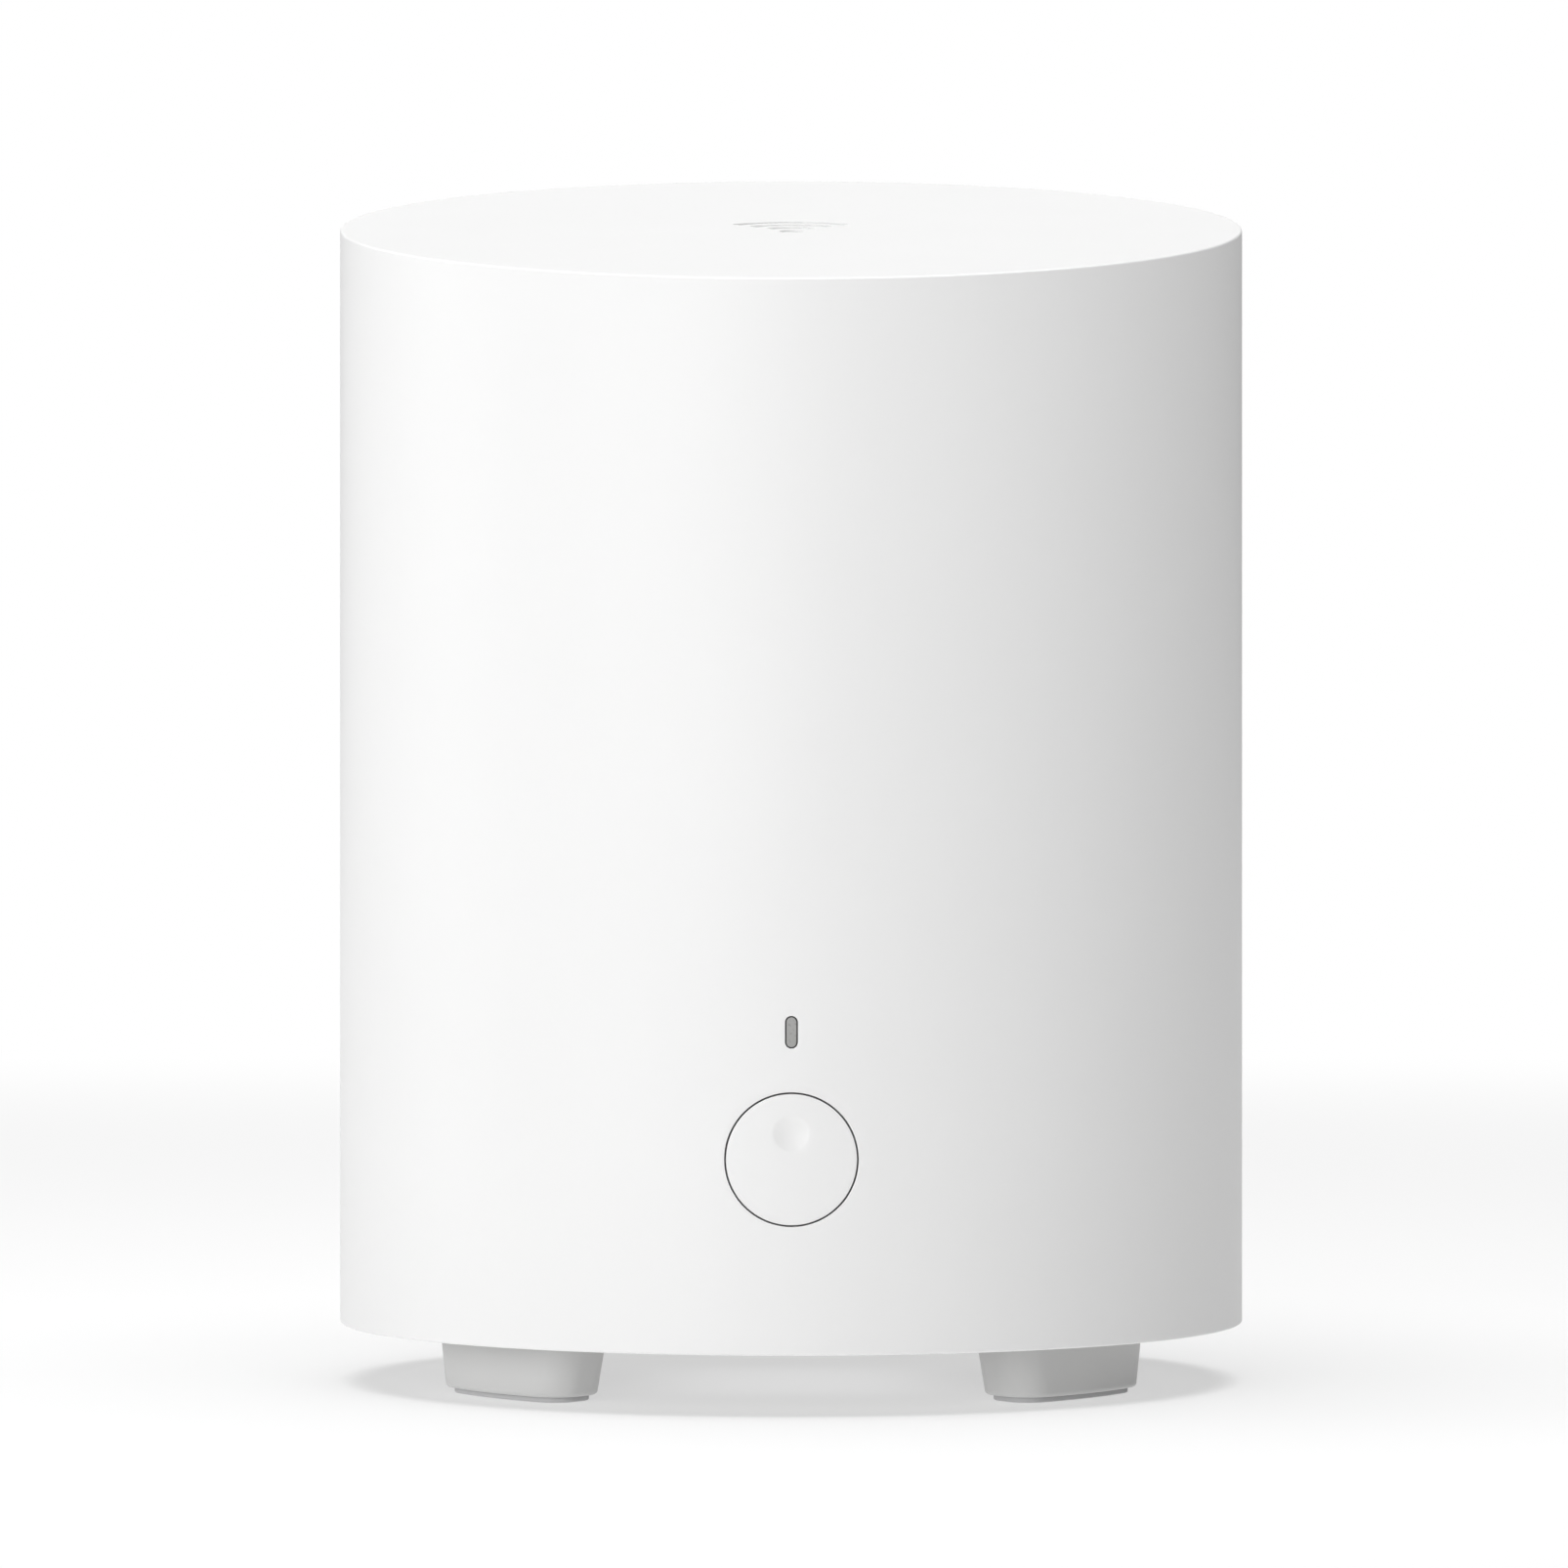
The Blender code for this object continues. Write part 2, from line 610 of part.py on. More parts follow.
def cut_front_openings(shell):
    front, behind_wall = -BODY_RADIUS - 2 * PAST, -BODY_RADIUS + 6 * PAST
    button_hole = add_level(
        "button_hole", BUTTON_RADIUS + BUTTON_CLEARANCE, 0, BUTTON_HEIGHT, front, behind_wall, 48
    )
    light_hole = add_prism(
        "light_hole",
        slot_outline(LIGHT_WIDTH + 2 * LIGHT_CLEARANCE, LIGHT_LENGTH + 2 * LIGHT_CLEARANCE),
        -behind_wall, -front, **facing_front(LIGHT_HEIGHT),
    )
    cut(shell, button_hole, light_hole)


def make_signal_cutters():
    """Cutters for the signal sign, laid on the sloping top."""
    on_top = {"location": (0, 0, AXIS_HEIGHT), "rotation": (SLOPE_ANGLE, 0, 0)}
    steps = 10
    cutters = []
    for radius in SIGNAL_ARCS:
        outline = []
        for edge in (1, -1):
            reach = radius + edge * SIGNAL_STROKE / 2
            for step in range(steps + 1):
                angle = edge * SIGNAL_HALF_ANGLE * (1 - 2 * step / steps)
                outline.append((reach * sin(angle), reach * cos(angle) - SIGNAL_FORWARD))
        cutters.append(add_prism("signal_arc", outline, -SIGNAL_DEPTH, PAST, **on_top))
    dot = [(x, y - SIGNAL_FORWARD) for x, y in circle_outline(SIGNAL_STROKE)]
    cutters.append(add_prism("signal_dot", dot, -SIGNAL_DEPTH, PAST, **on_top))
    return cutters


# ================================================================ front controls
def make_button():
    """Cap, retaining flange and stem in one moulding, with its front on the body's surface."""
    button = add_cylinder(
        "mesh_button", BUTTON_RADIUS, (0, -BODY_RADIUS - PAST, BUTTON_HEIGHT),
        (0, FLANGE_FACE + SUNK / 5, BUTTON_HEIGHT), WHITE_BUTTON,
    )
    combine(button, add_drum("button_face", BODY_RADIUS, *LOW_DRUM), "INTERSECT")
    flange_rear = FLANGE_FACE + FLANGE_THICKNESS
    flange_radius = BUTTON_RADIUS + FLANGE_REACH
    flange = add_level("button_flange", flange_radius, 0, BUTTON_HEIGHT, FLANGE_FACE, flange_rear, 48)
    stem_start = FLANGE_FACE + SUNK
    stem = add_level("button_stem", STEM_RADIUS, 0, BUTTON_HEIGHT, stem_start, STEM_END, POST_SIDES)
    join(button, flange, stem)

    # the dimple is the touch of a large ball
    ball_radius = (DIMPLE_RADIUS**2 + DIMPLE_DEPTH**2) / (2 * DIMPLE_DEPTH)
    bm = bmesh.new()
    bmesh.ops.create_uvsphere(bm, u_segments=80, v_segments=40, radius=ball_radius)
    ball_y = -BODY_RADIUS - ball_radius + DIMPLE_DEPTH
    ball = add_object(
        "button_dimple", finish_mesh(bm, "button_dimple"), None,
        (0, ball_y, BUTTON_HEIGHT + DIMPLE_RISE), (pi / 2, 0, 0),
    )
    cut(button, ball)


def make_light_pipe():
    """Clear bar from the status light to the body's surface, with a flange behind the wall."""
    pipe = add_prism(
        "light_pipe", slot_outline(LIGHT_WIDTH, LIGHT_LENGTH), -LIGHT_REAR, BODY_RADIUS + PAST,
        LIGHT_WINDOW, **facing_front(LIGHT_HEIGHT),
    )
    combine(pipe, add_drum("light_face", BODY_RADIUS, *LOW_DRUM), "INTERSECT")
    half_width, half_height = LIGHT_FLANGE_HALF_WIDTH, LIGHT_FLANGE_HALF_HEIGHT
    flange = add_box(
        "light_flange", (-half_width, LIGHT_FLANGE_FACE, LIGHT_HEIGHT - half_height),
        (half_width, LIGHT_FLANGE_REAR, LIGHT_HEIGHT + half_height),
    )
    join(pipe, flange)


def make_front_bracket():
    back = BRACKET_FACE + BRACKET_THICKNESS
    front_cut, back_cut = BRACKET_FACE - PAST, back + PAST
    bracket = add_box(
        "front_bracket", (-BRACKET_HALF_WIDTH, BRACKET_FACE, BRACKET_BOTTOM),
        (BRACKET_HALF_WIDTH, back, BRACKET_TOP), FRAME_PLASTIC,
    )
    for side in (-1, 1):
        x, z = side * BRACKET_SCREW_X, BRACKET_SCREW_Z
        root, end = back - SUNK, FRONT_BOARD_FACE - GAP
        post = add_level(f"bracket_post_{side}", BRACKET_POST_RADIUS, x, z, root, end, POST_SIDES)
        hole = add_level(f"bracket_hole_{side}", BRACKET_HOLE_RADIUS, x, z, front_cut, end + PAST)
        cut(join(bracket, post), hole)
    half_width, half_height = BRACKET_LIGHT_HOLE_HALF_WIDTH, BRACKET_LIGHT_HOLE_HALF_HEIGHT
    light_hole = add_box(
        "bracket_light_hole", (-half_width, front_cut, LIGHT_HEIGHT - half_height),
        (half_width, back_cut, LIGHT_HEIGHT + half_height),
    )
    stem_hole = add_level(
        "bracket_stem_hole", BRACKET_STEM_HOLE_RADIUS, 0, BUTTON_HEIGHT, front_cut, back_cut, 32
    )
    cut(bracket, stem_hole, light_hole)


def make_front_board():
    board = add_box(
        "front_board", (-FRONT_BOARD_HALF_WIDTH, FRONT_BOARD_FACE, FRONT_BOARD_BOTTOM),
        (FRONT_BOARD_HALF_WIDTH, FRONT_BOARD_REAR, FRONT_BOARD_TOP), CIRCUIT_BOARD,
    )
    for side in (-1, 1):
        hole = add_level(
            f"front_board_hole_{side}", BRACKET_HOLE_RADIUS, side * BRACKET_SCREW_X, BRACKET_SCREW_Z,
            FRONT_BOARD_FACE - PAST, FRONT_BOARD_REAR + PAST,
        )
        cut(board, hole)
    add_box(
        "status_led", (-LED_HALF_WIDTH, FRONT_BOARD_FACE - LED_DEPTH, LIGHT_HEIGHT - LED_HALF_HEIGHT),
        (LED_HALF_WIDTH, FRONT_BOARD_FACE - GAP, LIGHT_HEIGHT + LED_HALF_HEIGHT), LED_BODY,
    )


def make_mesh_switch():
    """Push switch behind the button, with its plunger's tip against the button's stem."""
    half = SWITCH_HALF_WIDTH
    switch = add_box(
        "mesh_switch_body", (-half, SWITCH_BODY_FACE, BUTTON_HEIGHT - half),
        (half, FRONT_BOARD_FACE - GAP, BUTTON_HEIGHT + half), DARK_PLASTIC,
    )
    bore = add_level(
        "mesh_switch_bore", SWITCH_BORE_RADIUS, 0, BUTTON_HEIGHT, SWITCH_BODY_FACE - PAST,
        SWITCH_BODY_FACE + SWITCH_BORE_DEPTH, POST_SIDES,
    )
    cut(switch, bore)
    add_cylinder(
        "mesh_switch_plunger", SWITCH_PLUNGER_RADIUS, (0, STEM_END + GAP, BUTTON_HEIGHT),
        (0, SWITCH_BODY_FACE + SWITCH_PLUNGER_SEAT, BUTTON_HEIGHT), STEEL, POST_SIDES,
    )


def make_ribbon():
    """Flat cable from the front board, sagging under the heatsink to the main board's socket."""
    sockets = {
        "front": (FRONT_BOARD_REAR + GAP, FRONT_BOARD_REAR + RIBBON_SOCKET_DEPTH),
        "main": (BOARD_FRONT - RIBBON_SOCKET_DEPTH, BOARD_FRONT - GAP),
    }
    for place, (near, far) in sockets.items():
        add_box(
            "ribbon_socket_" + place, (-RIBBON_SOCKET_HALF_WIDTH, near, RIBBON_SOCKET_BOTTOM),
            (RIBBON_SOCKET_HALF_WIDTH, far, RIBBON_SOCKET_TOP), DARK_PLASTIC,
        )
    start, end = sockets["front"][1] + 2 * GAP, sockets["main"][0] - 2 * GAP
    lower = []
    for step in range(RIBBON_STEPS + 1):
        share = step / RIBBON_STEPS
        sag = RIBBON_SAG * sin(pi * share) ** 2
        lower.append((start + (end - start) * share, RIBBON_END_HEIGHT - sag))
    upper = [(y, z + RIBBON_THICKNESS) for y, z in reversed(lower)]
    add_prism(
        "front_board_ribbon", lower + upper, -RIBBON_WIDTH / 2, RIBBON_WIDTH / 2, RIBBON,
        rotation=(pi / 2, 0, pi / 2),
    )


# ================================================================ screws
SCREW_MESHES = {}


def make_screw(name, size, place, direction):
    """A pan-head screw with a cross recess. Its origin is under the head, and direction is the
    way that it is driven. Screws of one size share a mesh."""
    if size in SCREW_MESHES:
        screw = add_object(name, SCREW_MESHES[size], STEEL)
    else:
        head_radius, head_height, shank_radius, length = size
        profile = [
            (0, head_height),
            (head_radius * 0.70, head_height),
            (head_radius, head_height * 0.55),
            (head_radius, 0),
            (shank_radius, 0),
            (shank_radius, -length + shank_radius),
            (0, -length),
        ]
        screw = add_turned(name, profile, STEEL)
        arm, slot, floor = head_radius * 0.62, head_radius * 0.14, head_height * 0.45
        for half_x, half_y in ((arm, slot), (slot, arm)):
            low, high = (-half_x, -half_y, floor), (half_x, half_y, head_height + PAST)
            cut(screw, add_box("screw_recess", low, high))
        SCREW_MESHES[size] = bake(screw).data
    screw.location = place
    screw.rotation_euler = Vector((0, 0, -1)).rotation_difference(Vector(direction)).to_euler()


def make_inner_screws():
    """On each side: a bracket screw, a screw up into the inner frame, and a main board screw."""
    for side, name in ((-1, "left"), (1, "right")):
        bracket_place = (side * BRACKET_SCREW_X, FRONT_BOARD_REAR + GAP, BRACKET_SCREW_Z)
        make_screw("bracket_screw_" + name, BRACKET_SCREW, bracket_place, (0, -1, 0))
        frame_place = (side * FRAME_SCREW_X, FRAME_SCREW_Y, FRAME_SCREW_SEAT)
        make_screw("frame_screw_" + name, FRAME_SCREW, frame_place, (0, 0, 1))
        board_place = (side * BOARD_SCREW_X, BOARD_FRONT - GAP, BOARD_SCREW_Z)
        make_screw("board_screw_" + name, BOARD_SCREW, board_place, (0, 1, 0))


# ================================================================ base, feet and pads
def make_base():
    """Plate with a low lip, let into the shell's lower end."""
    top = BASE_TOP + BASE_LIP
    base = add_cylinder(
        "base_plate", BASE_RADIUS, (0, 0, BASE_BOTTOM), (0, 0, top), GREY_PLASTIC, BODY_SIDES
    )
    round_edges(base, BASE_EDGE_ROUND, 1)
    axis = Vector((0, 0, 0))
    below, above = BASE_BOTTOM - 2 * PAST, top + 2 * PAST
    cut(base, add_upright("base_hollow", BASE_RADIUS - BASE_LIP_WIDTH, axis, BASE_TOP, above, BODY_SIDES))

    # two banks of slots that let cool air in between the feet
    lying_slot = [(along, across) for across, along in slot_outline(VENT_WIDTH, VENT_LENGTH, 4)]
    for row in range(VENT_ROWS):
        for side in (-1, 1):
            place = (side * VENT_X, VENT_FIRST_Y + VENT_PITCH * row, 0)
            cut(base, add_prism(f"vent_{row}_{side}", lying_slot, below, above, None, place))

    for place, degrees in FOOT_ANGLES.items():
        centre = place_round(FOOT_SCREW_RADIUS, degrees)
        cut(base, add_upright("base_hole_" + place, SCREW_HOLE_RADIUS, centre, below, above))
    for side in (-1, 1):
        centre = Vector((side * FRAME_SCREW_X, FRAME_SCREW_Y, 0))
        head_end = BASE_BOTTOM + FRAME_HEAD_DEPTH
        cut(base, add_upright(f"frame_hole_{side}", FRAME_HOLE_RADIUS, centre, below, above))
        cut(base, add_upright(f"frame_head_{side}", FRAME_HEAD_RADIUS, centre, below, head_end))
    reset_place = Vector((RESET_X, RESET_Y, 0))
    cut(base, add_upright("reset_hole", RESET_HOLE_RADIUS, reset_place, below, above))


def make_label():
    top = BASE_BOTTOM - LABEL_CLEARANCE
    outline = rounded_rectangle(LABEL_HALF_WIDTH, LABEL_HALF_LENGTH, LABEL_CORNER)
    add_prism("blank_label", outline, top - LABEL_THICKNESS, top, LABEL_PAPER, (0, LABEL_Y, 0))


def make_foot():
    """One foot, drawn at the front; its copies are turned into their places."""
    bottom, top = PAD_SHOWN, BASE_BOTTOM - GAP / 2
    rings = []
    for step in range(FOOT_ROUND_STEPS + 1):
        turn = pi / 2 * step / FOOT_ROUND_STEPS
        grow = FOOT_MARGIN - FOOT_ROUND_OUT * (1 - sin(turn))
        rings.append((bottom + FOOT_ROUND_UP * (1 - cos(turn)), ring_part_outline(grow)))
    rings.append((top, ring_part_outline(FOOT_MARGIN + FOOT_FLARE, FOOT_FLARE_ANGLE)))
    foot = add_loft("foot", rings, GREY_PLASTIC)
    centre = Vector((0, -FOOT_SCREW_RADIUS, 0))
    inside_pad = PAD_THICKNESS - PAST
    seat = FOOT_SCREW_SEAT + GAP
    cut(
        foot,
        add_prism("pad_recess", ring_part_outline(PAD_CLEARANCE), -PAST, PAD_THICKNESS + GAP),
        add_upright("foot_counterbore", COUNTERBORE_RADIUS, centre, inside_pad, seat, POST_SIDES),
        add_upright("foot_screw_hole", SCREW_HOLE_RADIUS, centre, inside_pad, top + 2 * PAST),
    )
    return bake(foot)


def make_feet():
    foot = make_foot()
    pad = add_prism("pad", ring_part_outline(0), 0, PAD_THICKNESS, PAD_RUBBER)
    bake(round_edges(pad, PAD_EDGE_ROUND, 1, radians(60)))
    for place, degrees in FOOT_ANGLES.items():
        turn = (0, 0, radians(degrees))
        add_object("foot_" + place, foot.data, FOOT_GREY, rotation=turn)
        add_object("foot_pad_" + place, pad.data, PAD_RUBBER, rotation=turn)
        screw_place = place_round(FOOT_SCREW_RADIUS, degrees, FOOT_SCREW_SEAT)
        make_screw("base_screw_" + place, BASE_SCREW, screw_place, (0, 0, 1))
    bpy.data.objects.remove(foot)
    bpy.data.objects.remove(pad)


# ================================================================ rear ports
def make_port_bay():
    """Tray behind the shell's window: a flat panel with walls that reach the shell."""
    half_outer = BAY_HALF_WIDTH + BAY_WALL
    bay = add_box(
        "port_bay", (-half_outer, PANEL_FACE - PANEL_THICKNESS, BAY_BOTTOM - BAY_FLOOR_WALL),
        (half_outer, BODY_RADIUS, BAY_TOP + BAY_WALL), DARK_PLASTIC,
    )
    outside = add_drum("bay_outside", BODY_RADIUS - WALL - 0.0003, *LOW_DRUM)
    combine(bay, outside, "INTERSECT")
    room = add_prism(
        "bay_room", rounded_rectangle(BAY_HALF_WIDTH, (BAY_TOP - BAY_BOTTOM) / 2, BAY_CORNER),
        -BODY_RADIUS - 5 * PAST, -PANEL_FACE, **facing_front(SOCKET_HEIGHT),
    )
    cut(bay, room)
    panel_rear, panel_front = PANEL_FACE - PANEL_THICKNESS - PAST, PANEL_FACE + PAST
    for x, size in ((LAN_X[0], LAN_SIZE), (LAN_X[1], LAN_SIZE), (POWER_X, POWER_SIZE)):
        half_x, half_z = size[0] / 2 + GAP, size[1] / 2 + GAP
        hole = add_box(
            "panel_hole", (x - half_x, panel_rear, SOCKET_HEIGHT - half_z),
            (x + half_x, panel_front, SOCKET_HEIGHT + half_z),
        )
        cut(bay, hole)


def make_lan_socket(number, x):
    """Network socket with room for a plug and its latch, and a comb of eight contacts in its roof."""
    half_width, half_height = LAN_SIZE[0] / 2, LAN_SIZE[1] / 2
    z = SOCKET_HEIGHT
    mouth = SOCKET_FACE + PAST
    socket = add_box(
        f"lan_socket_{number}", (x - half_width, BOARD_REAR + GAP, z - half_height),
        (x + half_width, SOCKET_FACE, z + half_height), TINPLATE,
    )
    room = add_box(
        f"lan_room_{number}", (x - LAN_ROOM_HALF_WIDTH, LAN_ROOM_END, z - LAN_ROOM_BELOW),
        (x + LAN_ROOM_HALF_WIDTH, mouth, z + LAN_ROOM_ABOVE),
    )
    key = add_box(
        f"lan_key_{number}", (x - LAN_KEY_HALF_WIDTH, LAN_ROOM_END, z - LAN_KEY_BELOW),
        (x + LAN_KEY_HALF_WIDTH, mouth, z - LAN_KEY_JOIN),
    )
    cut(socket, room, key)
    comb = add_box(
        f"lan_contacts_{number}", (x - COMB_HALF_WIDTH, COMB_DEPTH[0], z + COMB_RISE[0]),
        (x + COMB_HALF_WIDTH, COMB_DEPTH[1], z + COMB_RISE[1]), GOLD_CONTACT,
    )
    for wire in range(CONTACTS):
        wire_x = x + (wire - (CONTACTS - 1) / 2) * CONTACT_PITCH
        spring = add_box(
            f"lan_wire_{number}_{wire}",
            (wire_x - CONTACT_HALF_WIDTH, COMB_DEPTH[1] - SUNK, z + CONTACT_RISE[0]),
            (wire_x + CONTACT_HALF_WIDTH, CONTACT_TIP, z + CONTACT_RISE[1]),
        )
        join(comb, spring)


def make_power_socket():
    """Barrel power inlet with its centre pin."""
    half_width, half_height = POWER_SIZE[0] / 2, POWER_SIZE[1] / 2
    z = SOCKET_HEIGHT
    bore_end = SOCKET_FACE - POWER_BORE_DEPTH
    socket = add_box(
        "power_socket", (POWER_X - half_width, BOARD_REAR + GAP, z - half_height),
        (POWER_X + half_width, SOCKET_FACE, z + half_height), DARK_PLASTIC,
    )
    cut(socket, add_level("power_bore", POWER_BORE_RADIUS, POWER_X, z, bore_end, SOCKET_FACE + PAST, 32))
    add_cylinder(
        "power_pin", POWER_PIN_RADIUS, (POWER_X, bore_end + GAP, z),
        (POWER_X, SOCKET_FACE - POWER_PIN_INSET, z), STEEL, SCREW_SIDES,
    )


# ================================================================ main board and its frame
def make_frame():
    """Plastic frame that stands on the base and grips the main board by its edges."""
    board_bottom = BOARD_BOTTOM - GAP
    frame = add_box(
        "inner_frame", (-FRAME_OUT, BOARD_REAR + FRAME_BOARD_CLEARANCE, BOARD_TOP - FRAME_BAR_HEIGHT),
        (FRAME_OUT, FRAME_REAR, BOARD_TOP), FRAME_PLASTIC,
    )
    foot_bar = add_box(
        "frame_foot_bar", (-FRAME_OUT, BOARD_FRONT - FRAME_BOARD_CLEARANCE, FRAME_BOTTOM),
        (FRAME_OUT, BOARD_REAR + GAP, board_bottom),
    )
    join(frame, foot_bar)
    for side in (-1, 1):
        low_x, high_x = sorted((side * FRAME_IN, side * FRAME_OUT))
        post = add_box(
            f"frame_post_{side}", (low_x, FRAME_FRONT, FRAME_BOTTOM), (high_x, FRAME_REAR, BOARD_TOP)
        )
        toe = add_box(
            f"frame_toe_{side}", (low_x, FRAME_SCREW_Y - FRAME_TOE_HALF_WIDTH, FRAME_BOTTOM),
            (high_x, FRAME_FRONT + SUNK, FRAME_TOE_TOP),
        )
        join(frame, post, toe)
    for side in (-1, 1):
        inner, outer = FRAME_IN - GROOVE_DEPTH, BOARD_HALF_WIDTH + GROOVE_CLEARANCE
        low_x, high_x = sorted((side * inner, side * outer))
        groove = add_box(
            f"frame_groove_{side}", (low_x, BOARD_FRONT - GROOVE_CLEARANCE, board_bottom),
            (high_x, BOARD_REAR + GROOVE_CLEARANCE, BOARD_TOP + PAST),
        )
        toe_centre = Vector((side * FRAME_SCREW_X, FRAME_SCREW_Y, 0))
        base_pilot = add_upright(
            f"frame_pilot_{side}", FRAME_PILOT_RADIUS, toe_centre, FRAME_BOTTOM - PAST, FRAME_PILOT_END
        )
        board_pilot = add_level(
            f"frame_board_pilot_{side}", BOARD_PILOT_RADIUS, side * BOARD_SCREW_X, BOARD_SCREW_Z,
            BOARD_REAR, BOARD_PILOT_END,
        )
        cut(frame, groove, base_pilot, board_pilot)


def make_main_board():
    board = add_box(
        "main_board", (-BOARD_HALF_WIDTH, BOARD_FRONT, BOARD_BOTTOM),
        (BOARD_HALF_WIDTH, BOARD_REAR, BOARD_TOP), CIRCUIT_BOARD,
    )
    holes = [(side * BOARD_SCREW_X, BOARD_SCREW_Z, BOARD_SCREW_HOLE_RADIUS) for side in (-1, 1)]
    holes += [(x, z, PIN_HOLE_RADIUS) for x, z in PIN_PLACES]
    for number, (x, z, radius) in enumerate(holes):
        cut(board, add_level(f"board_hole_{number}", radius, x, z, BOARD_FRONT - PAST, BOARD_REAR + PAST))


def make_plate(name, half_width, bottom, top, near, far, material):
    """A box across the body's middle, between two y's given in either order."""
    front, rear = sorted((near, far))
    return add_box(name, (-half_width, front, bottom), (half_width, rear, top), material)


def make_shield(name, size, board_face, outward):
    """A stamped can over the chips: five walls, open towards the board."""
    half_width, bottom, top = size
    far = board_face + outward * SHIELD_HEIGHT
    can = make_plate(name, half_width, bottom, top, board_face + outward * GAP, far, TINPLATE)
    room = make_plate(
        name + "_room", half_width - SHIELD_WALL, bottom + SHIELD_WALL, top - SHIELD_WALL,
        board_face - outward * 2 * PAST, far - outward * SHIELD_WALL, None,
    )
    cut(can, room)


def make_heatsink(name, plate_near, outward, fin_end):
    """A plate with upright fins on the side away from the board."""
    plate_far = plate_near + outward * SINK_PLATE
    sink = make_plate(name, SINK_HALF_WIDTH, SINK_BOTTOM, SINK_TOP, plate_near, plate_far, ALUMINIUM)
    front, rear = sorted((plate_far - outward * FIN_SUNK, fin_end))
    for fin in range(FIN_COUNT):
        x = (fin - (FIN_COUNT - 1) / 2) * FIN_PITCH
        blade = add_box(
            f"{name}_fin_{fin}", (x - FIN_THICKNESS / 2, front, SINK_BOTTOM),
            (x + FIN_THICKNESS / 2, rear, SINK_TOP),
        )
        join(sink, blade)
    near_cut, far_cut = sorted((plate_near - outward * PAST, plate_far + outward * PAST))
    for number, (x, z) in enumerate(PIN_PLACES):
        cut(sink, add_level(f"{name}_pin_hole_{number}", PIN_HOLE_RADIUS, x, z, near_cut, far_cut))


def make_chips():
    """Processor on the front of the board and radio on its rear, each under its can and heatsink."""
    face, back = BOARD_FRONT - GAP, BOARD_REAR + GAP
    make_plate(
        "processor_chip", PROCESSOR_HALF_WIDTH, PROCESSOR_BOTTOM, PROCESSOR_TOP, face,
        face - PROCESSOR_THICKNESS, CHIP,
    )
    make_plate(
        "radio_chip", RADIO_HALF_WIDTH, RADIO_BOTTOM, RADIO_TOP, back, back + RADIO_THICKNESS, CHIP
    )
    make_shield("processor_shield", PROCESSOR_SHIELD, BOARD_FRONT, -1)
    make_shield("radio_shield", RADIO_SHIELD, BOARD_REAR, 1)

    pad_rear = BOARD_FRONT - SHIELD_HEIGHT - GAP
    pad_front = pad_rear - THERMAL_PAD_THICKNESS
    make_plate(
        "thermal_pad", THERMAL_PAD_HALF_WIDTH, THERMAL_PAD_BOTTOM, THERMAL_PAD_TOP, pad_rear,
        pad_front, THERMAL_PAD,
    )
    front_sink, rear_sink = pad_front - GAP, BOARD_REAR + SHIELD_HEIGHT + GAP
    make_heatsink("heatsink_front", front_sink, -1, SINK_FRONT_END)
    make_heatsink("heatsink_rear", rear_sink, 1, SINK_REAR_END)
    make_heatsink_pins(front_sink - SINK_PLATE - GAP, rear_sink + SINK_PLATE)


def make_heatsink_pins(head_seat, rear_face):
    """Plastic pins that clamp both heatsinks through the board."""
    length = rear_face - head_seat + PIN_TIP
    profile = [
        (0, PIN_HEAD_HEIGHT),
        (PIN_HEAD_TOP_RADIUS, PIN_HEAD_HEIGHT),
        (PIN_HEAD_RADIUS, 0),
        (PIN_RADIUS, 0),
        (PIN_RADIUS, -length + PIN_TIP),
        (0, -length),
    ]
    for number, (x, z) in enumerate(PIN_PLACES, 1):
        pin = add_turned(f"heatsink_pin_{number}", profile, DARK_PLASTIC)
        pin.location = (x, head_seat, z)
        pin.rotation_euler = (pi / 2, 0, 0)


def make_reset_switch():
    """Small switch on the board's front, its plunger pointing down at the hole in the base."""
    bottom = RESET_BODY_BOTTOM
    body = add_box(
        "reset_switch_body", (RESET_X - RESET_BODY_HALF_WIDTH, BOARD_FRONT - RESET_BODY_DEPTH, bottom),
        (RESET_X + RESET_BODY_HALF_WIDTH, BOARD_FRONT - GAP, bottom + RESET_BODY_HEIGHT), DARK_PLASTIC,
    )
    place = Vector((RESET_X, RESET_Y, 0))
    cut(body, add_upright("reset_bore", RESET_HOLE_RADIUS, place, bottom - PAST, bottom + RESET_BORE_DEPTH))
    add_cylinder(
        "reset_plunger", RESET_PLUNGER_RADIUS, (RESET_X, RESET_Y, bottom - RESET_PLUNGER_SHOWN),
        (RESET_X, RESET_Y, bottom + RESET_PLUNGER_SEAT), STEEL, SCREW_SIDES,
    )


# ================================================================ antennas
def smooth_path(points, steps):
    """Points along a smooth curve through the given ones."""
    points = [Vector(point) for point in points]
    padded = [2 * points[0] - points[1], *points, 2 * points[-1] - points[-2]]
    path = []
    for k in range(1, len(padded) - 2):
        before, start, end, after = padded[k - 1 : k + 3]
        for step in range(steps):
            t = step / steps
            slope = (end - before) * t
            bend = (2 * before - 5 * start + 4 * end - after) * t**2
            twist = (3 * start - before - 3 * end + after) * t**3
            path.append((2 * start + slope + bend + twist) / 2)
    return [*path, points[-1]]


def make_wire(name, points, diameter, material):
    curve = bpy.data.curves.new(name, "CURVE")
    curve.dimensions = "3D"
    curve.bevel_depth = diameter / 2
    curve.bevel_resolution = 1
    curve.use_fill_caps = True
    path = smooth_path(points, 3)
    spline = curve.splines.new("POLY")
    spline.points.add(len(path) - 1)
    for point, place in zip(spline.points, path):
        point.co = (*place, 1)
    curve.materials.append(material)
    PARTS.objects.link(bpy.data.objects.new(name, curve))


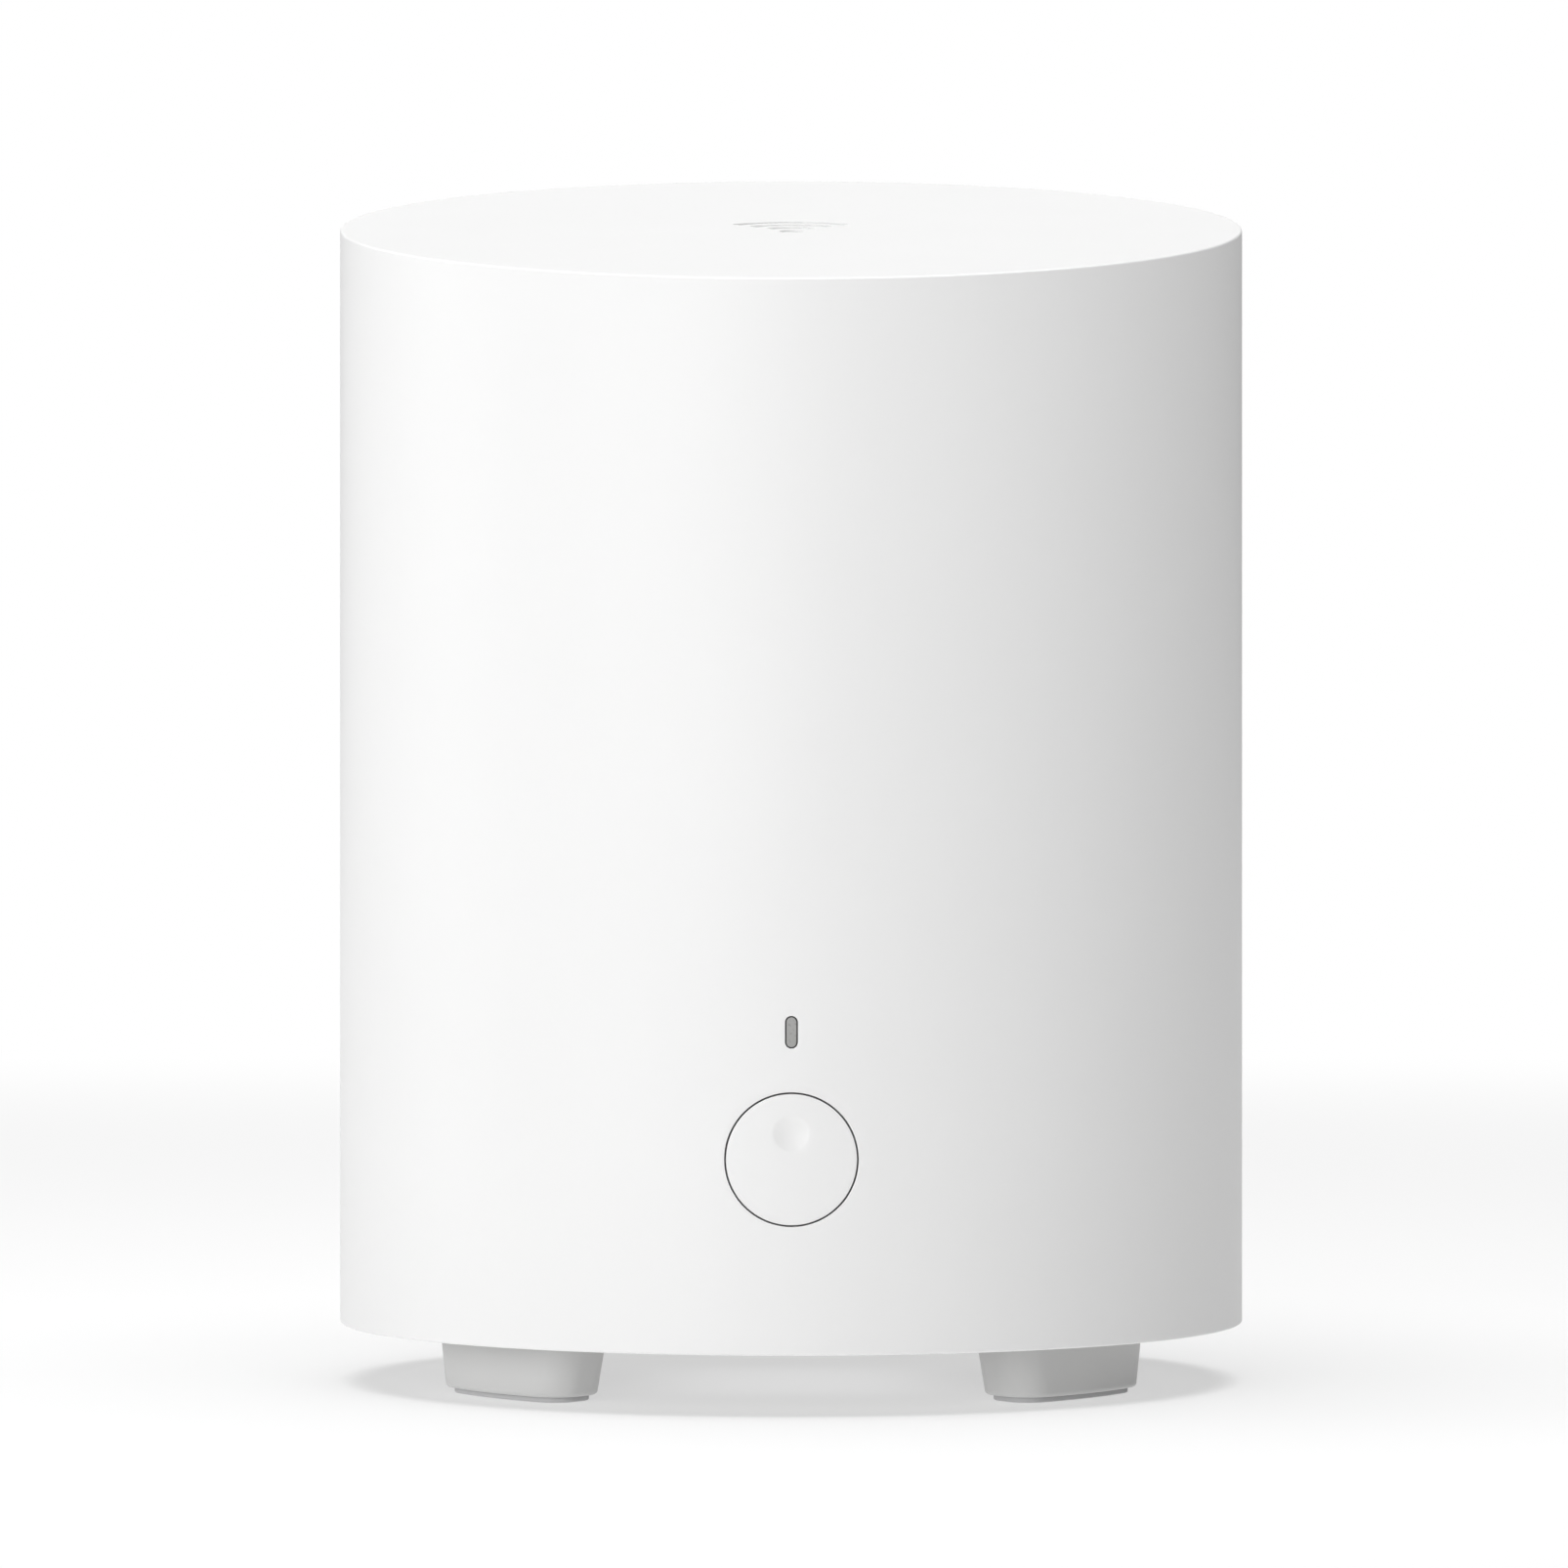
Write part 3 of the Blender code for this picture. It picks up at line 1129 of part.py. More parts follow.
def make_antennas():
    """Two bands on each side: a strip against the frame's post, and its thin lead to the board."""
    lead_x = STRIP_OUT + GAP + LEAD_DIAMETER / 2
    for side_name, side in (("left", -1), ("right", 1)):
        for band, (low, high, feed_z, end_x, end_z) in ANTENNA_BANDS.items():
            left, right = sorted((side * STRIP_IN, side * STRIP_OUT))
            strip = f"antenna_{band}_{side_name}"
            add_box(strip, (left, STRIP_FRONT, low), (right, STRIP_REAR, high), ANTENNA_BOARD)
            fall = feed_z - end_z
            route = [
                (side * lead_x, STRIP_FRONT + 0.0035, feed_z),
                (side * lead_x, STRIP_FRONT - 0.0002, feed_z - 0.02 * fall),
                (side * (STRIP_IN - 0.0003), STRIP_FRONT - 0.0018, feed_z - 0.15 * fall),
                (side * (STRIP_IN - 0.0050), STRIP_FRONT - 0.0012, feed_z - 0.60 * fall),
                (side * (end_x + 0.0012), BOARD_FRONT - 0.0040, end_z),
                (side * end_x, BOARD_FRONT - 0.0003, end_z),
            ]
            make_wire(f"antenna_lead_{band}_{side_name}", route, LEAD_DIAMETER, CABLE_JACKET)


# ================================================================ the whole object
make_shell()
make_button()
make_light_pipe()
make_front_bracket()
make_front_board()
make_mesh_switch()
make_ribbon()
make_inner_screws()
make_base()
make_label()
make_feet()
make_port_bay()
for socket_number, socket_x in enumerate(LAN_X, 1):
    make_lan_socket(socket_number, socket_x)
make_power_socket()
make_frame()
make_main_board()
make_chips()
make_reset_switch()
make_antennas()
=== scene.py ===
"""Looks of the mesh wifi node: a fine surface for each visible piece, materials, light and camera."""

from math import asin, cos, hypot, pi, radians, sin, sqrt, tan

import bmesh
import bpy
from mathutils import Matrix, Vector


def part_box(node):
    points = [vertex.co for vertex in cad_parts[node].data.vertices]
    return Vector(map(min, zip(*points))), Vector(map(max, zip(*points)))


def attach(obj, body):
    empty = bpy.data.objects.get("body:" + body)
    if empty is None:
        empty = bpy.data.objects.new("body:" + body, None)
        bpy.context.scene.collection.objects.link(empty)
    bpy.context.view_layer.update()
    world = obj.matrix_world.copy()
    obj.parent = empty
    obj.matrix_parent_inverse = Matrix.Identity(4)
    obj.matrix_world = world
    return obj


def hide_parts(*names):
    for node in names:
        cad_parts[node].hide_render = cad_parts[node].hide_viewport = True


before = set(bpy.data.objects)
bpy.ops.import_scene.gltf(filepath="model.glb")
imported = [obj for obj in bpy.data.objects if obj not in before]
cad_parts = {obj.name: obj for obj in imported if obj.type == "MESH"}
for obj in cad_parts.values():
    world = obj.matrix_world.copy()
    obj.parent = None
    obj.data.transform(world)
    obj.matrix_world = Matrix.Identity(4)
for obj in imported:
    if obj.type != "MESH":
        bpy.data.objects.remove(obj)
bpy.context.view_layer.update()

MM = 0.001
SHARP_ANGLE = 35  # degrees between faces, over which an edge is drawn sharp
SHADING_WEIGHT = 80

# ---------------------------------------------------------------- sizes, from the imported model
shell_low, shell_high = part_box("outer_shell")
BODY_RADIUS = shell_high.x
RIM_HEIGHT = shell_low.z
WALL = 2.2 * MM
SLOPE_ANGLE = radians(10)
TOP_SLOPE = tan(SLOPE_ANGLE)
AXIS_HEIGHT = 127.87 * MM  # low enough for the sharp rim to stay inside the CAD box
RIM_ROUND = 0.25 * MM
TOP_BANDS = (0.15 * MM, 1.5 * MM)
EDGE_ROUND = 0.05 * MM
SIGN_DEPTH = 0.2 * MM
SIGN_REACH = 20 * MM  # the sign lies within this reach of the axis

cap_low, cap_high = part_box("mesh_button")
FLANGE_RADIUS = cap_high.x
BUTTON_HEIGHT = (cap_low.z + cap_high.z) / 2
BUTTON_RADIUS = FLANGE_RADIUS - 0.9 * MM
BUTTON_GAP = 0.18 * MM
FLANGE_FACE = -46.8 * MM
FLANGE_THICKNESS = 0.9 * MM
STEM_RADIUS = 1.8 * MM
DIMPLE_RISE = 2.7 * MM
DIMPLE_RADIUS = 1.9 * MM
DIMPLE_DEPTH = 0.34 * MM

pipe_low, pipe_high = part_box("light_pipe")
LIGHT_HEIGHT = (pipe_low.z + pipe_high.z) / 2
LIGHT_WIDTH = 1.08 * MM
LIGHT_LENGTH = 3.14 * MM
LIGHT_GAP = 0.13 * MM

bay_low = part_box("port_bay")[0]
socket_low, socket_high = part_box("lan_socket_1")
SOCKET_HEIGHT = (socket_low.z + socket_high.z) / 2
SOCKET_FACE = socket_high.y
PANEL_FACE = SOCKET_FACE + 0.2 * MM
PANEL_THICKNESS = 1.8 * MM
BAY_HALF_WIDTH = 25.0 * MM
BAY_HALF_HEIGHT = 8.5 * MM
BAY_CORNER = 2.5 * MM
BAY_EDGE_ROUND = 0.35 * MM

BAY_WALL = 1.5 * MM
BAY_OUTER_REACH = BODY_RADIUS - WALL - 0.3 * MM
LAN_X = [(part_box(f"lan_socket_{n}")[0].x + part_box(f"lan_socket_{n}")[1].x) / 2 for n in (1, 2)]
LAN_HALF = ((socket_high.x - socket_low.x) / 2, (socket_high.z - socket_low.z) / 2)
power_low, power_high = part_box("power_socket")
POWER_X = (power_low.x + power_high.x) / 2
POWER_HALF = ((power_high.x - power_low.x) / 2, (power_high.z - power_low.z) / 2)

base_low, base_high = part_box("base_plate")
BASE_RADIUS = base_high.x
BASE_BOTTOM = base_low.z
BASE_LIP_TOP = base_high.z
BASE_TOP = BASE_LIP_TOP - 1.0 * MM
RESET_PLACE = [(low + high) / 2 for low, high in zip(*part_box("reset_plunger"))][:2]
SCREW_REACH = 38.0 * MM

FOOT_ANGLES = {"front_left": -51.25, "front_right": 51.25, "rear_right": 128.75, "rear_left": 231.25}
PAD_OUTER = 41.2 * MM
PAD_INNER = 34.4 * MM
PAD_HALF_ANGLE = radians(14.2)
PAD_CORNER = 2.6 * MM


# ---------------------------------------------------------------- mesh helpers
class Skin:
    """Collects points and faces, then makes them into one object."""

    def __init__(self):
        self.points = []
        self.faces = []

    def add(self, point):
        self.points.append(tuple(point))
        return len(self.points) - 1

    def ring(self, points):
        return [self.add(point) for point in points]

    def face(self, *corners):
        self.faces.append(corners)

    def bridge(self, first, second, closed=True):
        """A band of quads between two rows of points with the same count."""
        count = len(first)
        for k in range(count if closed else count - 1):
            after = (k + 1) % count
            self.face(first[k], first[after], second[after], second[k])

    def tower(self, rings):
        """A closed skin over rings of points, with a flat face on the first and the last."""
        rows = [self.ring(points) for points in rings]
        for lower, upper in zip(rows, rows[1:]):
            self.bridge(lower, upper)
        self.face(*rows[0][::-1])
        self.face(*rows[-1])

    def make(self, name, materials, sharp_angle=SHARP_ANGLE, weighted=True):
        mesh = bpy.data.meshes.new(name)
        mesh.from_pydata(self.points, [], self.faces)
        return finish_piece(name, mesh, materials, sharp_angle, weighted)


def finish_piece(name, mesh, materials, sharp_angle, weighted):
    """Merges doubled points, turns the faces outwards, shades the mesh, and links it."""
    bm = bmesh.new()
    bm.from_mesh(mesh)
    bmesh.ops.remove_doubles(bm, verts=bm.verts, dist=1e-7)
    bmesh.ops.recalc_face_normals(bm, faces=bm.faces)
    bm.to_mesh(mesh)
    bm.free()
    mesh.shade_smooth()
    mesh.set_sharp_from_angle(angle=radians(sharp_angle))
    for material in materials:
        mesh.materials.append(material)
    piece = bpy.data.objects.new(name, mesh)
    bpy.context.scene.collection.objects.link(piece)
    if weighted:
        add_even_shading(piece)
    return piece


def add_even_shading(piece):
    shading = piece.modifiers.new("even_shading", "WEIGHTED_NORMAL")
    shading.keep_sharp = True
    shading.weight = SHADING_WEIGHT


def add_cuts(piece, cutters):
    for cutter in cutters:
        cut = piece.modifiers.new("cut", "BOOLEAN")
        cut.operation = "DIFFERENCE"
        cut.object = cutter


def apply_modifiers(piece):
    bpy.context.view_layer.update()
    graph = bpy.context.evaluated_depsgraph_get()
    mesh = bpy.data.meshes.new_from_object(piece.evaluated_get(graph))
    piece.modifiers.clear()
    piece.data = mesh
    return piece


def loft(name, rings, materials, sharp_angle=SHARP_ANGLE):
    """One piece whose skin runs over rings of points, closed at both ends."""
    skin = Skin()
    skin.tower(rings)
    return skin.make(name, materials, sharp_angle)


def quarter(steps):
    """Angles from 0 to a right angle."""
    return [pi / 2 * step / steps for step in range(steps + 1)]


def settle(piece, body, slot, *nodes):
    """Says which body a piece moves with, and the CAD nodes that it stands for; the slot argument is not
    used.
    """
    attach(piece, body)
    if nodes:
        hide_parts(*nodes)
    return piece


# ---------------------------------------------------------------- materials
def add_node(tree, kind, **settings):
    node = tree.nodes.new(kind)
    for key, value in settings.items():
        setattr(node, key, value)
    return node


def noise(tree, place, scale, detail=3.0, stretch=None):
    """A noise texture with features about one over scale metres wide."""
    if stretch:
        mapping = add_node(tree, "ShaderNodeMapping")
        mapping.inputs["Scale"].default_value = stretch
        tree.links.new(place, mapping.inputs["Vector"])
        place = mapping.outputs["Vector"]
    texture = add_node(tree, "ShaderNodeTexNoise")
    texture.inputs["Scale"].default_value = scale
    texture.inputs["Detail"].default_value = detail
    texture.inputs["Roughness"].default_value = 0.55
    tree.links.new(place, texture.inputs["Vector"])
    return texture.outputs["Fac"]


def spread(tree, value, low, high):
    """Maps the middle of a noise, 0.3 to 0.7, onto the range from low to high."""
    scale = add_node(tree, "ShaderNodeMapRange")
    for key, number in (("From Min", 0.3), ("From Max", 0.7), ("To Min", low), ("To Max", high)):
        scale.inputs[key].default_value = number
    tree.links.new(value, scale.inputs["Value"])
    return scale.outputs["Result"]


def blend_colours(tree, factor, first, second):
    mix = add_node(tree, "ShaderNodeMix", data_type="RGBA")
    mix.inputs["A"].default_value = (*first, 1.0)
    mix.inputs["B"].default_value = (*second, 1.0)
    tree.links.new(factor, mix.inputs["Factor"])
    return mix.outputs["Result"]


def new_material(name):
    """A material, its node tree, its shader, and the object coordinates for its pattern."""
    material = bpy.data.materials.new(name)
    material.use_nodes = True
    tree = material.node_tree
    place = add_node(tree, "ShaderNodeTexCoord").outputs["Object"]
    return material, tree, tree.nodes["Principled BSDF"], place


def grained(name, colour, roughness, metallic=0.0, tint=0.03, grain=3200, depth=0.012 * MM,
            rough_spread=0.05, stretch=None, settings=()):
    """A moulded, cast or drawn surface: an even colour that varies a little, with a fine grain.
    grain is how many grains go to a metre, and depth is how deep they are."""
    material, tree, shader, place = new_material(name)
    broad = noise(tree, place, 60, 2.0)
    fine = noise(tree, place, grain, 3.0, stretch)
    darker = [part * (1 - tint) for part in colour]
    lighter = [min(1.0, part * (1 + tint)) for part in colour]
    factor = spread(tree, broad, 0.0, 1.0)
    tree.links.new(blend_colours(tree, factor, darker, lighter), shader.inputs["Base Color"])
    smooth_end, rough_end = roughness - rough_spread, roughness + rough_spread
    tree.links.new(spread(tree, fine, smooth_end, rough_end), shader.inputs["Roughness"])
    shader.inputs["Metallic"].default_value = metallic
    for socket, value in settings:
        shader.inputs[socket].default_value = value
    bump = add_node(tree, "ShaderNodeBump")
    bump.inputs["Strength"].default_value = 1.0
    bump.inputs["Distance"].default_value = depth
    tree.links.new(fine, bump.inputs["Height"])
    tree.links.new(bump.outputs["Normal"], shader.inputs["Normal"])
    return material


WHITE = grained("white_moulded", (0.86, 0.86, 0.858), 0.46, tint=0.004, grain=2600, depth=0.006 * MM)
BUTTON_WHITE = grained("white_button", (0.86, 0.86, 0.858), 0.42, tint=0.004, grain=3000,
                       depth=0.005 * MM)
MARK_GREY = grained("mark_ink", (0.62, 0.62, 0.62), 0.55, tint=0.01, grain=3000, depth=0.005 * MM)
WINDOW_GREY = grained("light_window", (0.40, 0.40, 0.39), 0.30, tint=0.01, depth=0.002 * MM,
                      settings=(("Transmission Weight", 0.15), ("IOR", 1.49)))
FOOT_GREY = grained("foot_grey", (0.62, 0.62, 0.615), 0.50, tint=0.012, grain=2400, depth=0.008 * MM)
BASE_GREY = grained("base_grey", (0.46, 0.46, 0.455), 0.52, tint=0.012, grain=1800, depth=0.014 * MM)
PAD_GREY = grained("pad_rubber", (0.50, 0.50, 0.505), 0.78, tint=0.03, grain=1500, depth=0.02 * MM)
BLACK = grained("bay_black", (0.028, 0.028, 0.029), 0.50, tint=0.05, grain=2200, depth=0.012 * MM)
NYLON = grained("switch_black", (0.035, 0.035, 0.035), 0.55, tint=0.05, grain=1600)
NATURAL = grained("frame_plastic", (0.70, 0.70, 0.67), 0.58, tint=0.02, grain=1400)
CHIP = grained("chip_package", (0.022, 0.022, 0.024), 0.42, tint=0.08, grain=4000, depth=0.006 * MM)
TIN = grained("tinplate", (0.72, 0.71, 0.69), 0.28, 1.0, tint=0.03, grain=900, depth=0.003 * MM,
              stretch=(1.0, 1.0, 12.0))
STEEL = grained("zinc_steel", (0.58, 0.58, 0.59), 0.30, 1.0, tint=0.05, grain=1200, depth=0.003 * MM)
GOLD = grained("contact_gold", (0.86, 0.62, 0.24), 0.22, 1.0, tint=0.04, grain=2000, depth=0.001 * MM)
ALUMINIUM = grained("heatsink_metal", (0.78, 0.79, 0.80), 0.34, 1.0, tint=0.03, grain=2400,
                    depth=0.006 * MM, stretch=(1.0, 1.0, 0.02))
GAP_PAD = grained("thermal_pad", (0.42, 0.56, 0.66), 0.85, tint=0.05, grain=1800)
JACKET = grained("cable_jacket", (0.04, 0.04, 0.042), 0.42, tint=0.05, grain=1500, depth=0.004 * MM)
LABEL = grained("label_film", (0.74, 0.74, 0.74), 0.55, tint=0.01, grain=3500, depth=0.004 * MM)
LED_RESIN = grained("led_resin", (0.88, 0.87, 0.76), 0.22, tint=0.02, depth=0.001 * MM)
LINK_GREEN = grained("link_window_green", (0.10, 0.28, 0.12), 0.25, tint=0.04, depth=0.002 * MM,
                     settings=(("Transmission Weight", 0.3), ("IOR", 1.49)))
LINK_AMBER = grained("link_window_amber", (0.42, 0.24, 0.05), 0.25, tint=0.04, depth=0.002 * MM,
                     settings=(("Transmission Weight", 0.3), ("IOR", 1.49)))


def patterned(name, ground, figure, scale, roughness, metallic_figure=0.0):
    """A board or cable with a printed pattern: figure-coloured lines on the ground colour."""
    material, tree, shader, place = new_material(name)
    cells = add_node(tree, "ShaderNodeTexVoronoi", distance="MANHATTAN", feature="DISTANCE_TO_EDGE")
    cells.inputs["Scale"].default_value = scale
    cells.inputs["Randomness"].default_value = 0.8
    tree.links.new(place, cells.inputs["Vector"])
    line = add_node(tree, "ShaderNodeMapRange")
    for key, number in (("From Min", 0.03), ("From Max", 0.05), ("To Min", 1.0), ("To Max", 0.0)):
        line.inputs[key].default_value = number
    tree.links.new(cells.outputs["Distance"], line.inputs["Value"])
    colour = blend_colours(tree, line.outputs["Result"], ground, figure)
    tree.links.new(colour, shader.inputs["Base Color"])
    shader.inputs["Roughness"].default_value = roughness
    if metallic_figure:
        strength = add_node(tree, "ShaderNodeMath", operation="MULTIPLY")
        strength.inputs[1].default_value = metallic_figure
        tree.links.new(line.outputs["Result"], strength.inputs[0])
        tree.links.new(strength.outputs["Value"], shader.inputs["Metallic"])
    bump = add_node(tree, "ShaderNodeBump")
    bump.inputs["Distance"].default_value = 0.02 * MM
    tree.links.new(line.outputs["Result"], bump.inputs["Height"])
    tree.links.new(bump.outputs["Normal"], shader.inputs["Normal"])
    return material


BOARD_GREEN = patterned("circuit_board", (0.012, 0.12, 0.045), (0.03, 0.22, 0.09), 420, 0.35)
ANTENNA_BLACK = patterned("antenna_board", (0.025, 0.025, 0.027), (0.72, 0.45, 0.25), 90, 0.40, 1.0)
RIBBON_WHITE = patterned("ribbon", (0.80, 0.80, 0.78), (0.66, 0.66, 0.66), 900, 0.50)


# ---------------------------------------------------------------- the body's surface
def on_body(x, z, depth=0.0, back=False):
    """The point of the body's side at this x and z, this far under its surface."""
    y = sqrt((BODY_RADIUS - depth) ** 2 - x * x)
    return Vector((x, y if back else -y, z))


class Opening:
    """A hole through the side: a middle rectangle, which may be a line or a point, made wider all
    round by a radius. It fills a block of the side's grid."""

    def __init__(self, half_width, half_height, radius, height, edge_round, back, columns, rows):
        self.half_width, self.half_height = half_width, half_height
        self.radius, self.height, self.edge_round = radius, height, edge_round
        self.back, self.columns, self.rows = back, columns, rows

    def outline(self, x, z, grow):
        """The point of the outline nearest to (x, z), with the outline moved outwards by grow."""
        rise = z - self.height
        near_x = max(-self.half_width, min(self.half_width, x))
        near_z = max(-self.half_height, min(self.half_height, rise))
        away = Vector((x - near_x, rise - near_z)).normalized() * (self.radius + grow)
        return near_x + away.x, self.height + near_z + away.y


def steps_between(first, last, count):
    return [first + (last - first) * k / count for k in range(count)]


# grid lines round the body, as angles from the front: fine over the button and the port window
BUTTON_BLOCK = radians(10.4)
WINDOW_BLOCK = radians(33.4)
FRONT_STEPS, SIDE_STEPS, BACK_STEPS = 24, 68, 48
COLUMNS = (
    steps_between(-BUTTON_BLOCK, BUTTON_BLOCK, FRONT_STEPS)
    + steps_between(BUTTON_BLOCK, pi - WINDOW_BLOCK, SIDE_STEPS)
    + steps_between(pi - WINDOW_BLOCK, pi + WINDOW_BLOCK, BACK_STEPS)
    + steps_between(pi + WINDOW_BLOCK, 2 * pi - BUTTON_BLOCK, SIDE_STEPS)
)
# grid lines up the body
WINDOW_LOW, BUTTON_LOW, WINDOW_TOP = 10.0 * MM, 18.0 * MM, 31.5 * MM
BUTTON_TOP, LIGHT_LOW, LIGHT_TOP = 36.0 * MM, 37.0 * MM, 43.6 * MM
ROWS = (
    [RIM_HEIGHT + RIM_ROUND]
    + steps_between(WINDOW_LOW, BUTTON_LOW, 10)
    + steps_between(BUTTON_LOW, WINDOW_TOP, 18)
    + steps_between(WINDOW_TOP, BUTTON_TOP, 6)
    + steps_between(BUTTON_TOP, LIGHT_LOW, 1)
    + steps_between(LIGHT_LOW, LIGHT_TOP, 12)
    + [LIGHT_TOP]
)
WINDOW_COLUMNS = (FRONT_STEPS + SIDE_STEPS, FRONT_STEPS + SIDE_STEPS + BACK_STEPS)
OPENINGS = (
    Opening(0, 0, BUTTON_RADIUS + BUTTON_GAP, BUTTON_HEIGHT, EDGE_ROUND, False, (0, FRONT_STEPS),
            (11, 35)),
    Opening(0, (LIGHT_LENGTH - LIGHT_WIDTH) / 2, LIGHT_WIDTH / 2 + LIGHT_GAP, LIGHT_HEIGHT, EDGE_ROUND,
            False, (9, 15), (36, 48)),
    Opening(BAY_HALF_WIDTH - BAY_CORNER, BAY_HALF_HEIGHT - BAY_CORNER, BAY_CORNER, SOCKET_HEIGHT,
            BAY_EDGE_ROUND, True, WINDOW_COLUMNS, (1, 29)),
)
UPPER_ROWS = 4


def top_height(y, drop=0.0):
    return AXIS_HEIGHT + TOP_SLOPE * y - drop


def around(reach):
    """Places round the body at this reach from its axis, one for each column of the grid."""
    return [(reach * sin(angle), -reach * cos(angle)) for angle in COLUMNS]


def side_rows(depth, top_drop):
    """Rows of points up the side, this far under its surface, ending this far under the top."""
    places = around(BODY_RADIUS - depth)
    rows = [[(x, y, height) for x, y in places] for height in ROWS]
    for step in range(1, UPPER_ROWS + 1):
        row = []
        for x, y in places:
            end = top_height(y, top_drop)
            row.append((x, y, LIGHT_TOP + (end - LIGHT_TOP) * step / UPPER_ROWS))
        rows.append(row)
    return rows


def block_edge(opening):
    """Grid places round an opening's block, once round."""
    (left, right), (low, high) = opening.columns, opening.rows
    places = [(column, low) for column in range(left, right)]
    places += [(right, row) for row in range(low, high)]
    places += [(column, high) for column in range(right, left, -1)]
    places += [(left, row) for row in range(high, low, -1)]
    return places


def add_side(skin, depth, top_drop):
    """One side surface with its openings. Returns its lowest and highest rows, and for each opening
    the ring of points along its outline and the outline points' places."""
    rows = side_rows(depth, top_drop)
    count = len(COLUMNS)
    index = {}

    def point_at(column, row):
        key = (column % count, row)
        if key not in index:
            index[key] = skin.add(rows[row][column % count])
        return index[key]

    def is_open(column, row):
        return any(
            o.columns[0] <= column < o.columns[1] and o.rows[0] <= row < o.rows[1] for o in OPENINGS
        )

    for row in range(len(rows) - 1):
        for column in range(count):
            if not is_open(column, row):
                skin.face(
                    point_at(column, row), point_at(column + 1, row),
                    point_at(column + 1, row + 1), point_at(column, row + 1),
                )
    outlines = []
    for opening in OPENINGS:
        edge = block_edge(opening)
        ring = [point_at(column, row) for column, row in edge]
        spots = [rows[row][column % count] for column, row in edge]
        grow = opening.edge_round if depth == 0 else 0.0
        for share in (0.75, 0.5, 0.25, 0.0):
            band = []
            for x, _, z in spots:
                near_x, near_z = opening.outline(x, z, grow)
                mid_x, mid_z = near_x + (x - near_x) * share, near_z + (z - near_z) * share
                band.append(on_body(mid_x, mid_z, depth, opening.back))
            inner = skin.ring(band)
            skin.bridge(ring, inner)
            ring = inner
        outlines.append((ring, [(x, z) for x, _, z in spots]))
    bottom = [point_at(column, 0) for column in range(count)]
    top = [point_at(column, len(rows) - 1) for column in range(count)]
    return bottom, top, outlines


def make_signal_cutters():
    """Cutters for the plain signal sign on the top: three arcs over a dot."""
    arcs, stroke = (3.6 * MM, 6.4 * MM, 9.2 * MM), 1.3 * MM
    forward, half_angle, steps = 4.8 * MM, radians(42), 24
    outlines = []
    for radius in arcs:
        outline = []
        for end, reach in ((1, radius + stroke / 2), (-1, radius - stroke / 2)):
            for step in range(steps + 1):
                angle = end * half_angle * (1 - 2 * step / steps)
                outline.append((reach * sin(angle), reach * cos(angle) - forward))
        outlines.append(outline)
    dot = [2 * pi * k / 32 for k in range(32)]
    outlines.append([(stroke * cos(a), stroke * sin(a) - forward) for a in dot])
    slope = Matrix.Translation((0, 0, AXIS_HEIGHT)) @ Matrix.Rotation(SLOPE_ANGLE, 4, "X")
    cutters = []
    for outline in outlines:
        rings = [[slope @ Vector((x, y, z)) for x, y in outline] for z in (-SIGN_DEPTH, 1 * MM)]
        cutters.append(loft("signal_cutter", rings, ()))
    return cutters


def add_tube(skin, centre, along, radius, bore, length, steps=32):
    """A round boss with a blind bore: it starts at the centre, where the bore opens."""
    along = Vector(along)
    side = along.orthogonal().normalized()
    up = along.cross(side)
    turns = [2 * pi * k / steps for k in range(steps)]
    rows = []
    levels = ((radius, length), (radius, 0), (bore, 0), (bore, length * 0.8))
    for reach, rise in levels:
        middle = Vector(centre) + along * rise
        rows.append(skin.ring([middle + reach * (cos(t) * side + sin(t) * up) for t in turns]))
    for first, second in zip(rows, rows[1:]):
        skin.bridge(first, second)
    skin.face(*rows[0])
    skin.face(*rows[-1])


def add_bosses(skin):
    """Screw bosses inside the shell: four over the feet, each with a rib, and two at the front."""
    bottom, top = BASE_TOP + 0.2 * MM, 26.0 * MM
    radius, bore = 2.8 * MM, 1.5 * MM
    rib_low, rib_high = BASE_LIP_TOP + 0.4 * MM, 25.0 * MM
    half_width = 0.8 * MM
    far, near = -BODY_RADIUS + 1.2 * MM, -SCREW_REACH - 2.9 * MM
    corners = [(-half_width, far), (half_width, far), (half_width, near), (-half_width, near)]
    for degrees in FOOT_ANGLES.values():
        turned = Matrix.Rotation(radians(degrees), 3, "Z")
        centre = turned @ Vector((0, -SCREW_REACH, bottom))
        add_tube(skin, centre, (0, 0, 1), radius, bore, top - bottom)
        skin.tower([[turned @ Vector((x, y, z)) for x, y in corners] for z in (rib_low, rib_high)])
    for side in (-1, 1):
        centre = (side * 13.5 * MM, -42.4 * MM, 33.5 * MM)
        add_tube(skin, centre, (0, -1, 0), 2.7 * MM, 1.1 * MM, 4.4 * MM)


